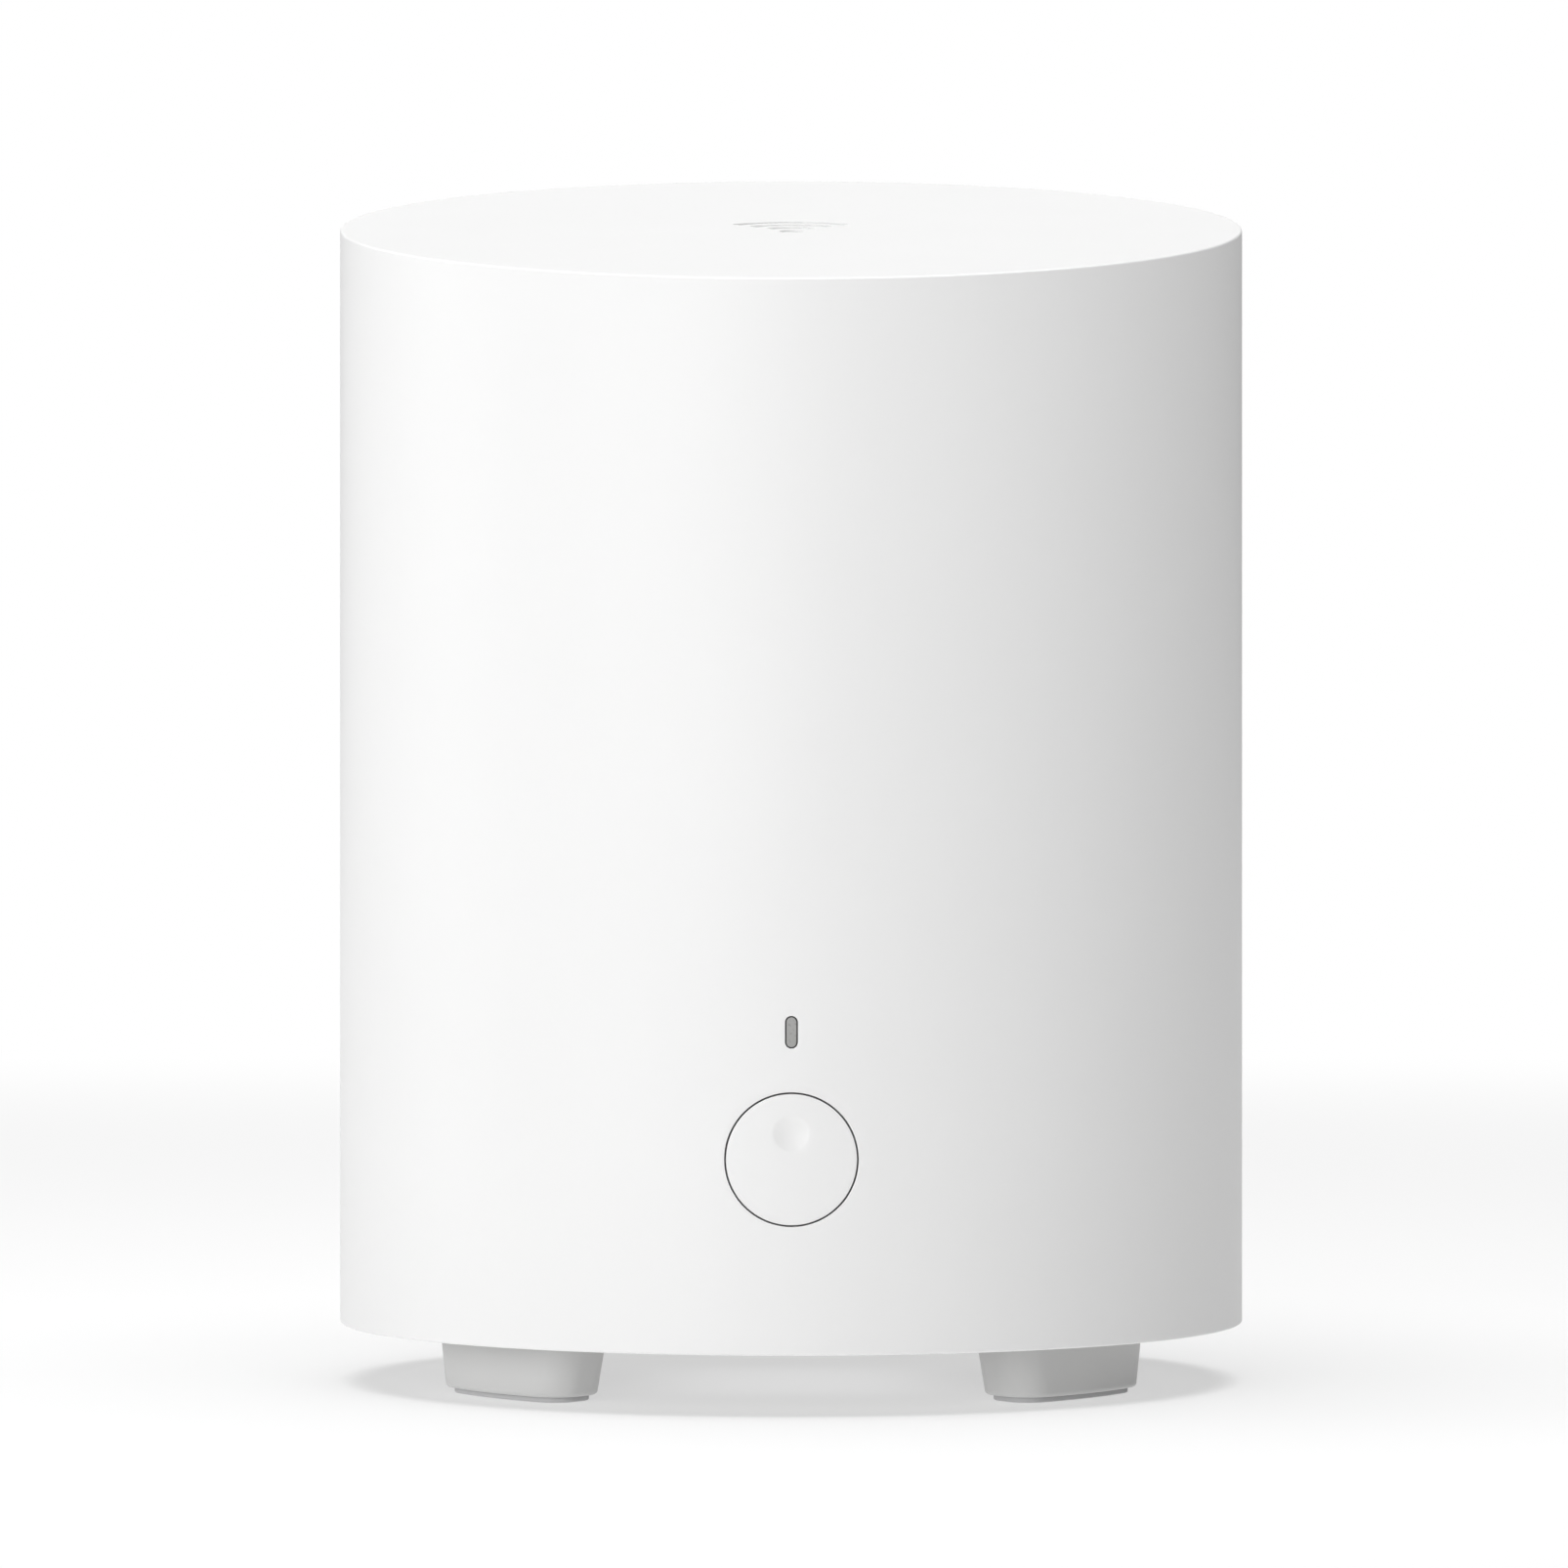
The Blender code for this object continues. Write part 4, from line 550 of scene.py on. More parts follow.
def make_shell():
    skin = Skin()
    outer_bottom, outer_top, outer_rings = add_side(skin, 0.0, RIM_ROUND)
    inner_bottom, inner_top, inner_rings = add_side(skin, WALL, WALL * 1.015)

    # rounded edges and through walls of the openings
    for opening, (outer, spots), (inner, _) in zip(OPENINGS, outer_rings, inner_rings):
        ring = outer
        for turn in quarter(4)[1:]:
            grow = opening.edge_round * (1 - sin(turn))
            depth = opening.edge_round * (1 - cos(turn))
            band = skin.ring(
                [on_body(*opening.outline(x, z, grow), depth, opening.back) for x, z in spots]
            )
            skin.bridge(ring, band)
            ring = band
        skin.bridge(ring, inner)

    # rounded rim, narrow bands that keep the flat top's shading even, then the sloping top
    levels = []
    for turn in quarter(5)[1:]:
        levels.append((BODY_RADIUS - RIM_ROUND * (1 - cos(turn)), RIM_ROUND * (1 - sin(turn))))
    levels += [(BODY_RADIUS - RIM_ROUND - inset, 0.0) for inset in TOP_BANDS]
    ring = outer_top
    for reach, drop in levels:
        band = skin.ring([(x, y, top_height(y, drop)) for x, y in around(reach)])
        skin.bridge(ring, band)
        ring = band
    skin.face(*ring)
    skin.face(*inner_top)

    # rounded lower rim, then its flat underside
    levels = []
    for turn in quarter(4)[1:]:
        rise = RIM_ROUND * (1 - sin(turn))
        levels.append((BODY_RADIUS - RIM_ROUND * (1 - cos(turn)), RIM_HEIGHT + rise))
    levels.append((BODY_RADIUS - WALL, RIM_HEIGHT))
    ring = outer_bottom
    for reach, height in levels:
        band = skin.ring([(x, y, height) for x, y in around(reach)])
        skin.bridge(ring, band)
        ring = band
    skin.bridge(ring, inner_bottom)

    add_bosses(skin)
    shell = skin.make("body_shell", [WHITE, MARK_GREY], weighted=False)
    # the faces in the sloping plane are shaded flat
    normal = Vector((0, -sin(SLOPE_ANGLE), cos(SLOPE_ANGLE)))
    for face in shell.data.polygons:
        if face.normal.dot(normal) > 0.99999:
            face.use_smooth = False
    cutters = make_signal_cutters()
    add_cuts(shell, cutters)
    add_even_shading(shell)
    apply_modifiers(shell)
    for cutter in cutters:
        bpy.data.objects.remove(cutter)
    # the floor of the sign is grey, all the rest is white
    for face in shell.data.polygons:
        sunk = (face.center - Vector((0, 0, AXIS_HEIGHT))).dot(normal)
        on_floor = abs(sunk + SIGN_DEPTH) < 0.05 * MM
        face.material_index = int(on_floor and hypot(*face.center[:2]) < SIGN_REACH)
    return settle(shell, "housing", "shell_white", "outer_shell")


# ---------------------------------------------------------------- front controls
def circle_on_body(radius, rise, depth, steps=96):
    """A ring on the body's front, round a point this far above the button's centre."""
    ring = []
    for k in range(steps):
        angle = 2 * pi * k / steps
        x, z = radius * cos(angle), BUTTON_HEIGHT + rise + radius * sin(angle)
        ring.append(on_body(x, z, depth))
    return ring


def flat_circle(radius, y, steps=96):
    return [
        (radius * cos(2 * pi * k / steps), y, BUTTON_HEIGHT + radius * sin(2 * pi * k / steps))
        for k in range(steps)
    ]


def make_button():
    edge = 0.06 * MM
    rings = []
    # the dimple, from its middle to its rim: part of a ball with a crisp rim
    dimple_steps = 14
    for step in range(1, dimple_steps + 1):
        share = step / dimple_steps
        sink = DIMPLE_DEPTH * (1 - share**2)
        rings.append(circle_on_body(DIMPLE_RADIUS * share, DIMPLE_RISE, sink))
    # from the dimple's rim out to the cap's edge
    field_steps = 12
    cap_edge = BUTTON_RADIUS - edge
    for step in range(1, field_steps + 1):
        share = step / field_steps
        radius = DIMPLE_RADIUS + (cap_edge - DIMPLE_RADIUS) * share
        rings.append(circle_on_body(radius, DIMPLE_RISE * (1 - share), 0.0))
    for turn in quarter(4)[1:]:
        rings.append(circle_on_body(cap_edge + edge * sin(turn), 0.0, edge * (1 - cos(turn))))
    rings.append(flat_circle(BUTTON_RADIUS, FLANGE_FACE))
    rings.append(flat_circle(FLANGE_RADIUS, FLANGE_FACE))
    rings.append(flat_circle(FLANGE_RADIUS, FLANGE_FACE + FLANGE_THICKNESS))
    rings.append(flat_circle(STEM_RADIUS, FLANGE_FACE + FLANGE_THICKNESS))
    rings.append(flat_circle(STEM_RADIUS, cap_high.y))
    button = loft("button_cap", rings, [BUTTON_WHITE])
    return settle(button, "button", "button_white", "mesh_button")


def make_light_window():
    """Clear bar from the status light to the body's surface, with its flange inside the wall."""
    outline = Opening(0, (LIGHT_LENGTH - LIGHT_WIDTH) / 2, LIGHT_WIDTH / 2, LIGHT_HEIGHT, 0, False,
                      (), ())
    steps = 48
    spots = []
    for k in range(steps):
        angle = 2 * pi * k / steps
        spots.append((2 * MM * cos(angle), LIGHT_HEIGHT + 4 * MM * sin(angle)))
    edge = 0.06 * MM
    rings = []
    for turn in quarter(4):
        grow, depth = -edge * (1 - sin(turn)), edge * (1 - cos(turn))
        rings.append([on_body(*outline.outline(x, z, grow), depth + 0.01 * MM) for x, z in spots])

    def flat(grow, y):
        places = [outline.outline(x, z, grow) for x, z in spots]
        return [(x, y, z) for x, z in places]

    flange, flange_front, flange_rear = 1.0 * MM, -47.3 * MM, -46.6 * MM
    rings += [flat(0, flange_front), flat(flange, flange_front), flat(flange, flange_rear)]
    rings += [flat(0, flange_rear), flat(0, pipe_high.y)]
    window = loft("status_window", rings, [WINDOW_GREY])
    return settle(window, "housing", "light_window", "light_pipe")


# ---------------------------------------------------------------- feet
def ring_part_outline(grow, extra_angle=0.0, arc_steps=20, corner_steps=10):
    """Plan of a foot or pad, centred on the -Y direction: the pad's outline, moved outwards all
    round by grow, with its two ends turned apart by the extra angle."""
    half_angle = PAD_HALF_ANGLE + extra_angle
    outer_reach, inner_reach = PAD_OUTER - PAD_CORNER, PAD_INNER + PAD_CORNER
    outer_turn = half_angle - asin(PAD_CORNER / outer_reach)
    inner_turn = half_angle - asin(PAD_CORNER / inner_reach)
    corner = PAD_CORNER + grow
    outer_end, inner_end = half_angle + pi / 2, inner_turn + pi
    # each arc: its centre's reach and angle, its radius, and its first and last angle
    sweeps = [
        (0, 0, PAD_OUTER + grow, -outer_turn, outer_turn, arc_steps),
        (outer_reach, outer_turn, corner, outer_turn, outer_end, corner_steps),
        (inner_reach, inner_turn, corner, outer_end, inner_end, corner_steps),
        (0, 0, PAD_INNER - grow, inner_turn, -inner_turn, arc_steps),
        (inner_reach, -inner_turn, corner, -inner_end, -outer_end, corner_steps),
        (outer_reach, -outer_turn, corner, -outer_end, -outer_turn, corner_steps),
    ]
    points = []
    for reach, turn, radius, first, last, steps in sweeps:
        centre_x, centre_y = reach * sin(turn), -reach * cos(turn)
        for step in range(steps):
            angle = first + (last - first) * step / steps
            points.append((centre_x + radius * sin(angle), centre_y - radius * cos(angle)))
    return points


def make_feet():
    margin, round_out, round_up = 0.95 * MM, 0.60 * MM, 0.50 * MM
    recess, recess_round = 0.20 * MM, 0.08 * MM
    flare, flare_angle = 0.10 * MM, radians(1.75)
    pad_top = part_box("foot_pad_front_left")[1].z
    bottom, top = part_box("foot_front_left")[0].z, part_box("foot_front_left")[1].z
    pad_edge = 0.22 * MM
    for place, degrees in FOOT_ANGLES.items():
        turned = Matrix.Rotation(radians(degrees), 3, "Z")

        def ring(grow, height, extra_angle=0.0):
            outline = ring_part_outline(grow, extra_angle)
            return [turned @ Vector((x, y, height)) for x, y in outline]

        rings = [ring(recess, pad_top + 0.2 * MM), ring(recess, bottom + recess_round)]
        for turn in quarter(2)[1:]:
            rings.append(ring(recess + recess_round * (1 - cos(turn)),
                              bottom + recess_round * (1 - sin(turn))))
        for turn in quarter(6):
            rings.append(ring(margin - round_out * (1 - sin(turn)), bottom + round_up * (1 - cos(turn))))
        wall_steps = 4
        low = bottom + round_up
        for step in range(1, wall_steps + 1):
            share = step / wall_steps
            rings.append(ring(margin + flare * share, low + (top - low) * share, flare_angle * share))
        foot = loft("grey_foot_" + place, rings, [FOOT_GREY])
        settle(foot, "housing", "foot_grey", "foot_" + place)

        rings = []
        for turn in quarter(4):
            rings.append(ring(-pad_edge * (1 - sin(turn)), pad_edge * (1 - cos(turn))))
        rings.append(ring(0, pad_top))
        pad = loft("rubber_pad_" + place, rings, [PAD_GREY])
        settle(pad, "housing", "pad_rubber", "foot_pad_" + place)


# ---------------------------------------------------------------- prisms, cutters and turned pieces
def rounded(half_width, half_height, corner, steps=8):
    """Outline points of a rectangle with round corners, or of a slot where the corner is a half."""
    points = []
    for number, (side, end) in enumerate(((1, 1), (-1, 1), (-1, -1), (1, -1))):
        for step in range(steps + 1):
            angle = (number + step / steps) * pi / 2
            across = side * (half_width - corner) + corner * cos(angle)
            points.append((across, end * (half_height - corner) + corner * sin(angle)))
    return points


def disc(radius, steps=96):
    return [(radius * cos(2 * pi * k / steps), radius * sin(2 * pi * k / steps)) for k in range(steps)]


def facing_back(outline, x, z, y):
    """An outline's points in the upright plane at y, round the point (x, z)."""
    return [(x + across, y, z + up) for across, up in outline]


def lying(outline, x, y, z):
    return [(x + across, y + along, z) for across, along in outline]


def rounded_block(name, shape, place, ends, edge, materials, lay=facing_back, steps=3):
    """A prism between two ends with rounded edges. shape(shrink) gives its outline."""
    first, last = ends
    sign = 1 if last > first else -1
    rings = []
    for turn in quarter(steps):
        rings.append(lay(shape(edge * (1 - sin(turn))), *place, first + sign * edge * (1 - cos(turn))))
    for turn in quarter(steps)[::-1]:
        rings.append(lay(shape(edge * (1 - sin(turn))), *place, last - sign * edge * (1 - cos(turn))))
    return loft(name, rings, materials)


def flared_cutter(shape, place, ends, flare, lay=facing_back):
    """A cutter whose mouth, at the first end, is wider by the flare: it leaves a softened edge.
    shape(shrink) gives its outline."""
    first, last = ends
    sign = 1 if last > first else -1
    beyond = first - sign * 0.5 * MM
    levels = [(beyond, flare)]
    for turn in quarter(3):
        levels.append((first + sign * flare * sin(turn), flare * (1 - cos(pi / 2 - turn))))
    levels.append((last, 0.0))
    rings = [lay(shape(-grow), *place, level) for level, grow in levels]
    return loft("cutter", rings, ())


def cut_away(piece, cutters):
    piece.modifiers.remove(piece.modifiers["even_shading"])
    add_cuts(piece, cutters)
    apply_modifiers(piece)
    piece.data.set_sharp_from_angle(angle=radians(SHARP_ANGLE))
    add_even_shading(piece)
    for cutter in cutters:
        bpy.data.objects.remove(cutter)
    return piece


def block_shape(half_width, half_height, corner):
    """An outline as a function of how far it is shrunk all round."""
    return lambda shrink: rounded(half_width - shrink, half_height - shrink, max(corner - shrink, 0.02 * MM))


def disc_shape(radius, steps=96):
    return lambda shrink: disc(radius - shrink, steps)


# ---------------------------------------------------------------- the back
PANEL_HOLE_FLARE = 0.25 * MM


def make_port_bay():
    """Tray behind the window: a flat panel, and walls that reach the shell."""
    room = Opening(BAY_HALF_WIDTH - BAY_CORNER, BAY_HALF_HEIGHT - BAY_CORNER, BAY_CORNER, SOCKET_HEIGHT,
                   0, True, (), ())
    spots = facing_back(rounded(2 * BAY_HALF_WIDTH, 2 * BAY_HALF_HEIGHT, BAY_HALF_HEIGHT, 40), 0,
                        SOCKET_HEIGHT, 0)
    floor_low = bay_low.z

    def flat(grow, y):
        ring = []
        for x, _, z in spots:
            near_x, near_z = room.outline(x, z, grow)
            ring.append((near_x, y, max(near_z, floor_low)))
        return ring

    def at_shell(grow):
        return [(x, sqrt(BAY_OUTER_REACH**2 - x * x), z) for x, _, z in flat(grow, 0)]

    fillet = 0.5 * MM
    rings = [flat(BAY_WALL, PANEL_FACE - PANEL_THICKNESS), at_shell(BAY_WALL), at_shell(0)]
    for turn in quarter(4):
        rings.append(flat(-fillet * (1 - cos(turn)), PANEL_FACE + fillet * (1 - sin(turn))))
    bay = loft("port_panel", rings, [BLACK])
    ends = (PANEL_FACE, PANEL_FACE - PANEL_THICKNESS - 1 * MM)
    slack = 0.2 * MM
    cutters = []
    for x, (half_x, half_z) in ((LAN_X[0], LAN_HALF), (LAN_X[1], LAN_HALF), (POWER_X, POWER_HALF)):
        shape = block_shape(half_x + slack, half_z + slack, 0.5 * MM)
        cutters.append(flared_cutter(shape, (x, SOCKET_HEIGHT), ends, PANEL_HOLE_FLARE))
    cut_away(bay, cutters)
    return settle(bay, "housing", "bay_black", "port_bay")


def make_lan_socket(number, x):
    """A shielded socket: a folded tin shield, a moulded insert, two link windows, eight springs."""
    z = SOCKET_HEIGHT
    half_x, half_z = LAN_HALF
    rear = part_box(f"lan_socket_{number}")[0].y
    place = (x, z)
    shield_wall = 0.45 * MM
    shape = block_shape(half_x, half_z, 0.5 * MM)
    shield = rounded_block(f"lan_shield_{number}", shape, place, (SOCKET_FACE, rear), 0.18 * MM, [TIN])
    room = block_shape(half_x - shield_wall, half_z - shield_wall, 0.35 * MM)
    cut_away(shield, [flared_cutter(room, place, (SOCKET_FACE, rear + shield_wall), 0.08 * MM)])
    settle(shield, "housing", "tinplate", f"lan_socket_{number}")

    # the insert: a block with the plug's room, the latch's notch in two steps, and the lamps' bays
    insert_face = SOCKET_FACE - 0.35 * MM
    inner = block_shape(half_x - shield_wall - 0.03 * MM, half_z - shield_wall - 0.03 * MM, 0.3 * MM)
    insert = rounded_block(f"lan_insert_{number}", inner, place, (insert_face, rear + 1 * MM), 0.12 * MM,
                           [BLACK])
    room_end = 27.0 * MM
    cutters = []
    for half_width, below, above in (
        (5.95 * MM, 3.7 * MM, 3.3 * MM), (3.1 * MM, 5.0 * MM, -2.0 * MM), (1.9 * MM, 5.9 * MM, -2.0 * MM)
    ):
        middle, half_height = z + (above - below) / 2, (above + below) / 2
        hole = block_shape(half_width, half_height, 0.2 * MM)
        cutters.append(flared_cutter(hole, (x, middle), (insert_face, room_end), 0.22 * MM))
    lamp_x, lamp_z, lamp_half = 5.2 * MM, z - 5.0 * MM, (1.5 * MM, 0.75 * MM)
    for side in (-1, 1):
        hole = block_shape(lamp_half[0] + 0.05 * MM, lamp_half[1] + 0.05 * MM, 0.2 * MM)
        lamp_place = (x + side * lamp_x, lamp_z)
        cutters.append(flared_cutter(hole, lamp_place, (insert_face, insert_face - 1.5 * MM), 0.08 * MM))
    cut_away(insert, cutters)
    settle(insert, "housing", "bay_black")
    for side, side_name, material in ((-1, "amber", LINK_AMBER), (1, "green", LINK_GREEN)):
        lamp_place = (x + side * lamp_x, lamp_z)
        lamp = rounded_block(f"link_window_{side_name}_{number}", block_shape(*lamp_half, 0.2 * MM),
                             lamp_place, (insert_face - 0.05 * MM, insert_face - 1.4 * MM), 0.1 * MM,
                             [material])
        settle(lamp, "housing", "led")
    make_contact_springs(number, x, z)


def make_contact_springs(number, x, z):
    """Eight spring wires in one comb: each runs forward under the roof, turns back, and slopes down."""
    pitch, half_width, half_thickness, bend = 1.02 * MM, 0.22 * MM, 0.13 * MM, 0.42 * MM
    start, turn_y = 27.1 * MM, 36.6 * MM
    high = z + 2.55 * MM
    path = [(start, high), (turn_y, high)]
    for step in range(1, 9):
        angle = radians(195) * step / 8
        path.append((turn_y + bend * sin(angle), high - bend + bend * cos(angle)))
    tip_y, tip_z = 31.0 * MM, z + 1.15 * MM
    path.append((tip_y, tip_z))
    path.append((tip_y - 0.9 * MM, tip_z + 0.25 * MM))
    skin = Skin()
    for wire in range(8):
        middle = x + (wire - 3.5) * pitch
        rings = []
        for k, (y, height) in enumerate(path):
            before, after = Vector(path[max(k - 1, 0)]), Vector(path[min(k + 1, len(path) - 1)])
            along = (after - before).normalized()
            across = Vector((-along.y, along.x)) * half_thickness
            corners = [(middle + side * half_width, y + sign * across.x, height + sign * across.y)
                       for side, sign in ((-1, 1), (1, 1), (1, -1), (-1, -1))]
            rings.append(corners)
        skin.tower(rings)
    springs = skin.make(f"lan_springs_{number}", [GOLD], sharp_angle=50)
    settle(springs, "housing", "contact_gold", f"lan_contacts_{number}")


def make_power_inlet():
    """Barrel inlet: a moulded body, a tin sleeve in its bore, and a round-nosed centre pin."""
    z = SOCKET_HEIGHT
    rear = power_low.y
    bore, sleeve_wall = 3.2 * MM, 0.25 * MM
    bore_end = SOCKET_FACE - 9.8 * MM
    shape = block_shape(*POWER_HALF, 0.6 * MM)
    body = rounded_block("power_inlet", shape, (POWER_X, z), (SOCKET_FACE, rear), 0.2 * MM, [BLACK])
    cut_away(body, [flared_cutter(disc_shape(bore), (POWER_X, z), (SOCKET_FACE, bore_end), 0.35 * MM)])
    settle(body, "housing", "bay_black", "power_socket")

    inner = bore - sleeve_wall
    face = SOCKET_FACE - 0.9 * MM
    levels = [(bore - 0.02 * MM, bore_end + 0.1 * MM), (bore - 0.02 * MM, face - 0.1 * MM),
              (bore - 0.1 * MM, face), (inner + 0.05 * MM, face), (inner, face - 0.1 * MM),
              (inner, bore_end + 0.1 * MM)]
    skin = Skin()
    rows = [skin.ring(facing_back(disc(radius), POWER_X, z, y)) for radius, y in levels]
    for first, second in zip(rows, rows[1:] + rows[:1]):
        skin.bridge(first, second)
    settle(skin.make("power_sleeve", [TIN]), "housing", "tinplate")

    pin_low, pin_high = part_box("power_pin")
    radius = (pin_high.x - pin_low.x) / 2
    rings = [facing_back(disc(radius, 48), POWER_X, z, pin_low.y)]
    nose = 0.7 * radius
    for turn in quarter(6):
        y = pin_high.y - nose * (1 - sin(turn))
        rings.append(facing_back(disc(radius * (0.35 + 0.65 * cos(turn)), 48), POWER_X, z, y))
    settle(loft("power_centre_pin", rings, [STEEL]), "housing", "steel", "power_pin")


# ---------------------------------------------------------------- the underside
def make_base():
    """Grey plate with a lip, cooling slots, and holes for the screws and the reset pin."""
    edge, lip = 0.3 * MM, 1.2 * MM
    rings = []
    for turn in quarter(3):
        rings.append(lying(disc(BASE_RADIUS - edge * (1 - sin(turn)), 192), 0, 0,
                           BASE_BOTTOM + edge * (1 - cos(turn))))
    for radius, height in ((BASE_RADIUS, BASE_LIP_TOP), (BASE_RADIUS - lip, BASE_LIP_TOP),
                           (BASE_RADIUS - lip, BASE_TOP)):
        rings.append(lying(disc(radius, 192), 0, 0, height))
    base = loft("base_cover", rings, [BASE_GREY])
    ends = (BASE_BOTTOM, BASE_LIP_TOP + 1 * MM)
    slot = block_shape(6.0 * MM, 1.1 * MM, 1.1 * MM)
    cutters = []
    for row in range(6):
        for side in (-1, 1):
            place = (side * 24.5 * MM, (4 * row - 10) * MM)
            cutters.append(flared_cutter(slot, place, ends, 0.25 * MM, lying))
    for degrees in FOOT_ANGLES.values():
        place = (SCREW_REACH * sin(radians(degrees)), -SCREW_REACH * cos(radians(degrees)))
        cutters.append(flared_cutter(disc_shape(1.7 * MM, 32), place, ends, 0.1 * MM, lying))
    for side in ("left", "right"):
        low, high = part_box("frame_screw_" + side)
        place = ((low.x + high.x) / 2, (low.y + high.y) / 2)
        cutters.append(flared_cutter(disc_shape(1.4 * MM, 32), place, ends, 0.1 * MM, lying))
        seat = (BASE_BOTTOM, BASE_BOTTOM + 1.6 * MM)
        cutters.append(flared_cutter(disc_shape(2.7 * MM, 64), place, seat, 0.25 * MM, lying))
    cutters.append(flared_cutter(disc_shape(1.1 * MM, 48), RESET_PLACE, ends, 0.35 * MM, lying))
    cut_away(base, cutters)
    settle(base, "housing", "base_grey", "base_plate")

    low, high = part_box("blank_label")
    shape = block_shape((high.x - low.x) / 2, (high.y - low.y) / 2, 2.0 * MM)
    place = ((low.x + high.x) / 2, (low.y + high.y) / 2)
    label = rounded_block("plain_label", shape, place, (low.z, high.z), 0.06 * MM, [LABEL], lying)
    settle(label, "housing", "label", "blank_label")


def make_frame_screws():
    """The two screws that show beside the rear feet: domed heads with cross recesses."""
    for side in ("left", "right"):
        low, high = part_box("frame_screw_" + side)
        x, y = (low.x + high.x) / 2, (low.y + high.y) / 2
        head, head_height, shank = (high.x - low.x) / 2, 1.3 * MM, 1.1 * MM
        rings = [lying(disc(head * 0.55, 64), x, y, low.z)]
        for turn in quarter(6):
            radius = head * (0.62 + 0.38 * sin(turn))
            rings.append(lying(disc(radius, 64), x, y, low.z + 0.5 * head_height * (1 - cos(turn))))
        rings.append(lying(disc(head, 64), x, y, low.z + head_height))
        rings.append(lying(disc(shank, 64), x, y, low.z + head_height))
        rings.append(lying(disc(shank, 64), x, y, high.z - shank))
        rings.append(lying(disc(0.1 * MM, 64), x, y, high.z))
        screw = loft(f"case_screw_{side}", rings, [STEEL])
        arm, slot = head * 0.60, head * 0.13
        cutters = []
        for half_x, half_y in ((arm, slot), (slot, arm)):
            shape = block_shape(half_x, half_y, slot * 0.8)
            ends = (low.z, low.z + 0.6 * head_height)
            cutters.append(flared_cutter(shape, (x, y), ends, 0.06 * MM, lying))
        cut_away(screw, cutters)
        settle(screw, "housing", "steel", "frame_screw_" + side)


# ---------------------------------------------------------------- carried-over CAD pieces
FINISHES = {
    "base_plate": BASE_GREY, "blank_label": LABEL,
    "base_screw": STEEL, "frame_screw": STEEL, "board_screw": STEEL, "bracket_screw": STEEL,
    "port_bay": BLACK, "lan_socket": TIN, "lan_contacts": GOLD, "power_socket": BLACK,
    "power_pin": STEEL,
    "front_bracket": NATURAL, "inner_frame": NATURAL,
    "front_board": BOARD_GREEN, "main_board": BOARD_GREEN, "front_board_ribbon": RIBBON_WHITE,
    "ribbon_socket": NYLON, "status_led": LED_RESIN,
    "mesh_switch_body": NYLON, "reset_switch_body": NYLON,
    "mesh_switch_plunger": STEEL, "reset_plunger": STEEL,
    "processor_chip": CHIP, "radio_chip": CHIP, "processor_shield": TIN, "radio_shield": TIN,
    "thermal_pad": GAP_PAD, "heatsink_pin": NYLON,
    "heatsink_front": ALUMINIUM, "heatsink_rear": ALUMINIUM,
    "antenna_lead": JACKET, "antenna": ANTENNA_BLACK,
}


def finish_cad_nodes():
    """Gives each CAD piece that stays in view its material, by the longest name that fits it."""
    for name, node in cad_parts.items():
        fits = [start for start in FINISHES if name.startswith(start)]
        if fits:
            material = FINISHES[max(fits, key=len)]
            node.data.materials.clear()
            node.data.materials.append(material)


# ---------------------------------------------------------------- stage, light and camera
CAMERA_DISTANCE = 16.65 * BODY_RADIUS
CAMERA_HEIGHT = 70.1 * MM
CAMERA_SIDE = -0.78 * MM
SENSOR = 36.0
LENS = 172.1
HORIZON_SHIFT = -0.0237


def make_camera():
    lens = bpy.data.cameras.new("camera")
    lens.sensor_width = SENSOR
    lens.lens = LENS
    lens.shift_y = HORIZON_SHIFT
    lens.clip_start = 0.01
    lens.clip_end = 100
    camera = bpy.data.objects.new("camera", lens)
    camera.location = (CAMERA_SIDE, -CAMERA_DISTANCE, CAMERA_HEIGHT)
    camera.rotation_euler = (pi / 2, 0, 0)
    bpy.context.scene.collection.objects.link(camera)
    bpy.context.scene.camera = camera


WORLD_LIGHT = 0.01
# the floor's own glow: its strength near the object, and the reaches where it starts and ends rising
FLOOR_GLOW = 0.50
GLOW_NEAR = 0.25
GLOW_FAR = 0.90


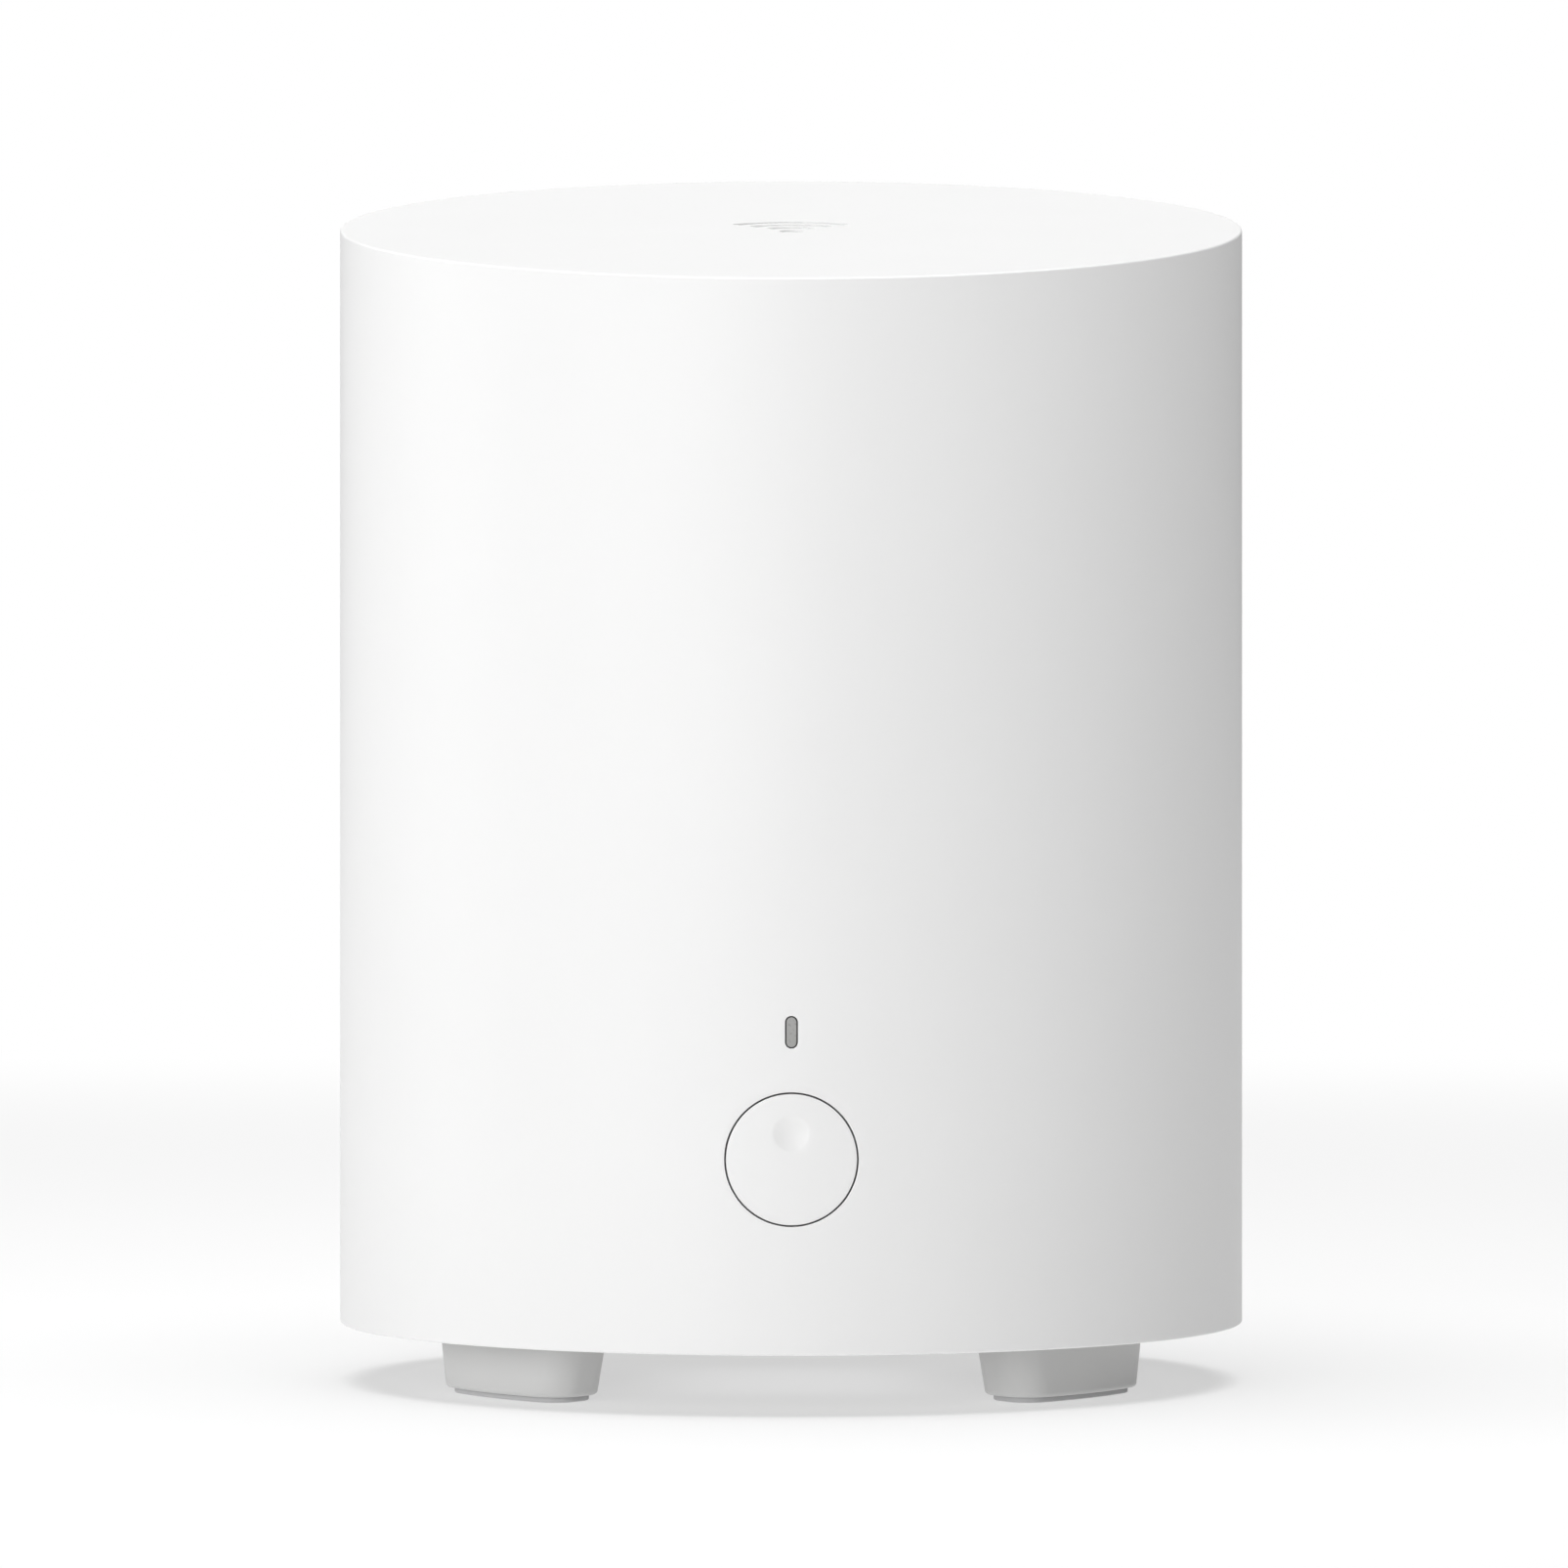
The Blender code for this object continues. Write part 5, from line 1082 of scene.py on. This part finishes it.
def make_stage():
    """A round pale floor that brightens with distance until it meets the white backdrop."""
    bm = bmesh.new()
    bmesh.ops.create_circle(bm, cap_ends=True, segments=96, radius=30)
    mesh = bpy.data.meshes.new("floor")
    bm.to_mesh(mesh)
    bm.free()
    floor = bpy.data.objects.new("floor", mesh)
    bpy.context.scene.collection.objects.link(floor)
    material, tree, paper, place = new_material("pale_floor")
    paper.inputs["Base Color"].default_value = (0.90, 0.90, 0.90, 1)
    paper.inputs["Roughness"].default_value = 0.9
    paper.inputs["Specular IOR Level"].default_value = 0.1
    glow = add_node(tree, "ShaderNodeEmission")
    reach = add_node(tree, "ShaderNodeVectorMath", operation="LENGTH")
    tree.links.new(place, reach.inputs[0])
    share = add_node(tree, "ShaderNodeMapRange", interpolation_type="SMOOTHSTEP")
    share.inputs["From Min"].default_value = GLOW_NEAR
    share.inputs["From Max"].default_value = GLOW_FAR
    tree.links.new(reach.outputs["Value"], share.inputs["Value"])
    share.inputs["To Min"].default_value = FLOOR_GLOW
    mix = add_node(tree, "ShaderNodeMixShader")
    tree.links.new(share.outputs["Result"], mix.inputs["Fac"])
    tree.links.new(paper.outputs["BSDF"], mix.inputs[1])
    tree.links.new(glow.outputs["Emission"], mix.inputs[2])
    tree.links.new(mix.outputs["Shader"], tree.nodes["Material Output"].inputs["Surface"])
    mesh.materials.append(material)

    world = bpy.data.worlds.new("studio")
    bpy.context.scene.world = world
    world.use_nodes = True
    tree = world.node_tree
    seen = tree.nodes["Background"]
    seen.inputs["Color"].default_value = (1, 1, 1, 1)
    dim = add_node(tree, "ShaderNodeBackground")
    dim.inputs["Strength"].default_value = WORLD_LIGHT
    rays = add_node(tree, "ShaderNodeLightPath")
    mix = add_node(tree, "ShaderNodeMixShader")
    tree.links.new(rays.outputs["Is Camera Ray"], mix.inputs["Fac"])
    tree.links.new(dim.outputs["Background"], mix.inputs[1])
    tree.links.new(seen.outputs["Background"], mix.inputs[2])
    tree.links.new(mix.outputs["Shader"], tree.nodes["World Output"].inputs["Surface"])


LIGHT_AIM_HEIGHT = 60 * MM
# softboxes: azimuth from the front (positive to the right), elevation, distance, size and power
SOFTBOXES = {
    "overhead": (0, 90, 1.1, 1.3, 17.4),
    "far_left": (-130, 8, 1.2, 0.7, 0.6),
    "left": (-95, 8, 1.2, 0.7, 2.4),
    "key_left": (-40, 8, 1.2, 0.7, 3.0),
    "front": (-15, 8, 1.2, 0.7, 3.9),
}


def make_lights():
    for name, (azimuth, elevation, distance, size, power) in SOFTBOXES.items():
        light = bpy.data.lights.new(name, "AREA")
        light.shape = "DISK"
        light.size = size
        light.energy = power
        lamp = bpy.data.objects.new(name, light)
        turn, rise = radians(azimuth), radians(elevation)
        aim = Vector((0, 0, LIGHT_AIM_HEIGHT))
        lamp.location = aim + distance * Vector((sin(turn) * cos(rise), -cos(turn) * cos(rise), sin(rise)))
        lamp.rotation_euler = (aim - lamp.location).to_track_quat("-Z", "Y").to_euler()
        bpy.context.scene.collection.objects.link(lamp)


# ---------------------------------------------------------------- the whole scene
make_shell()
make_button()
make_light_window()
make_feet()
make_port_bay()
for number, socket_x in enumerate(LAN_X, 1):
    make_lan_socket(number, socket_x)
make_power_inlet()
make_base()
make_frame_screws()
finish_cad_nodes()
make_stage()
make_lights()
make_camera()
bpy.context.scene.view_settings.view_transform = "Standard"
bpy.context.scene.view_settings.look = "None"
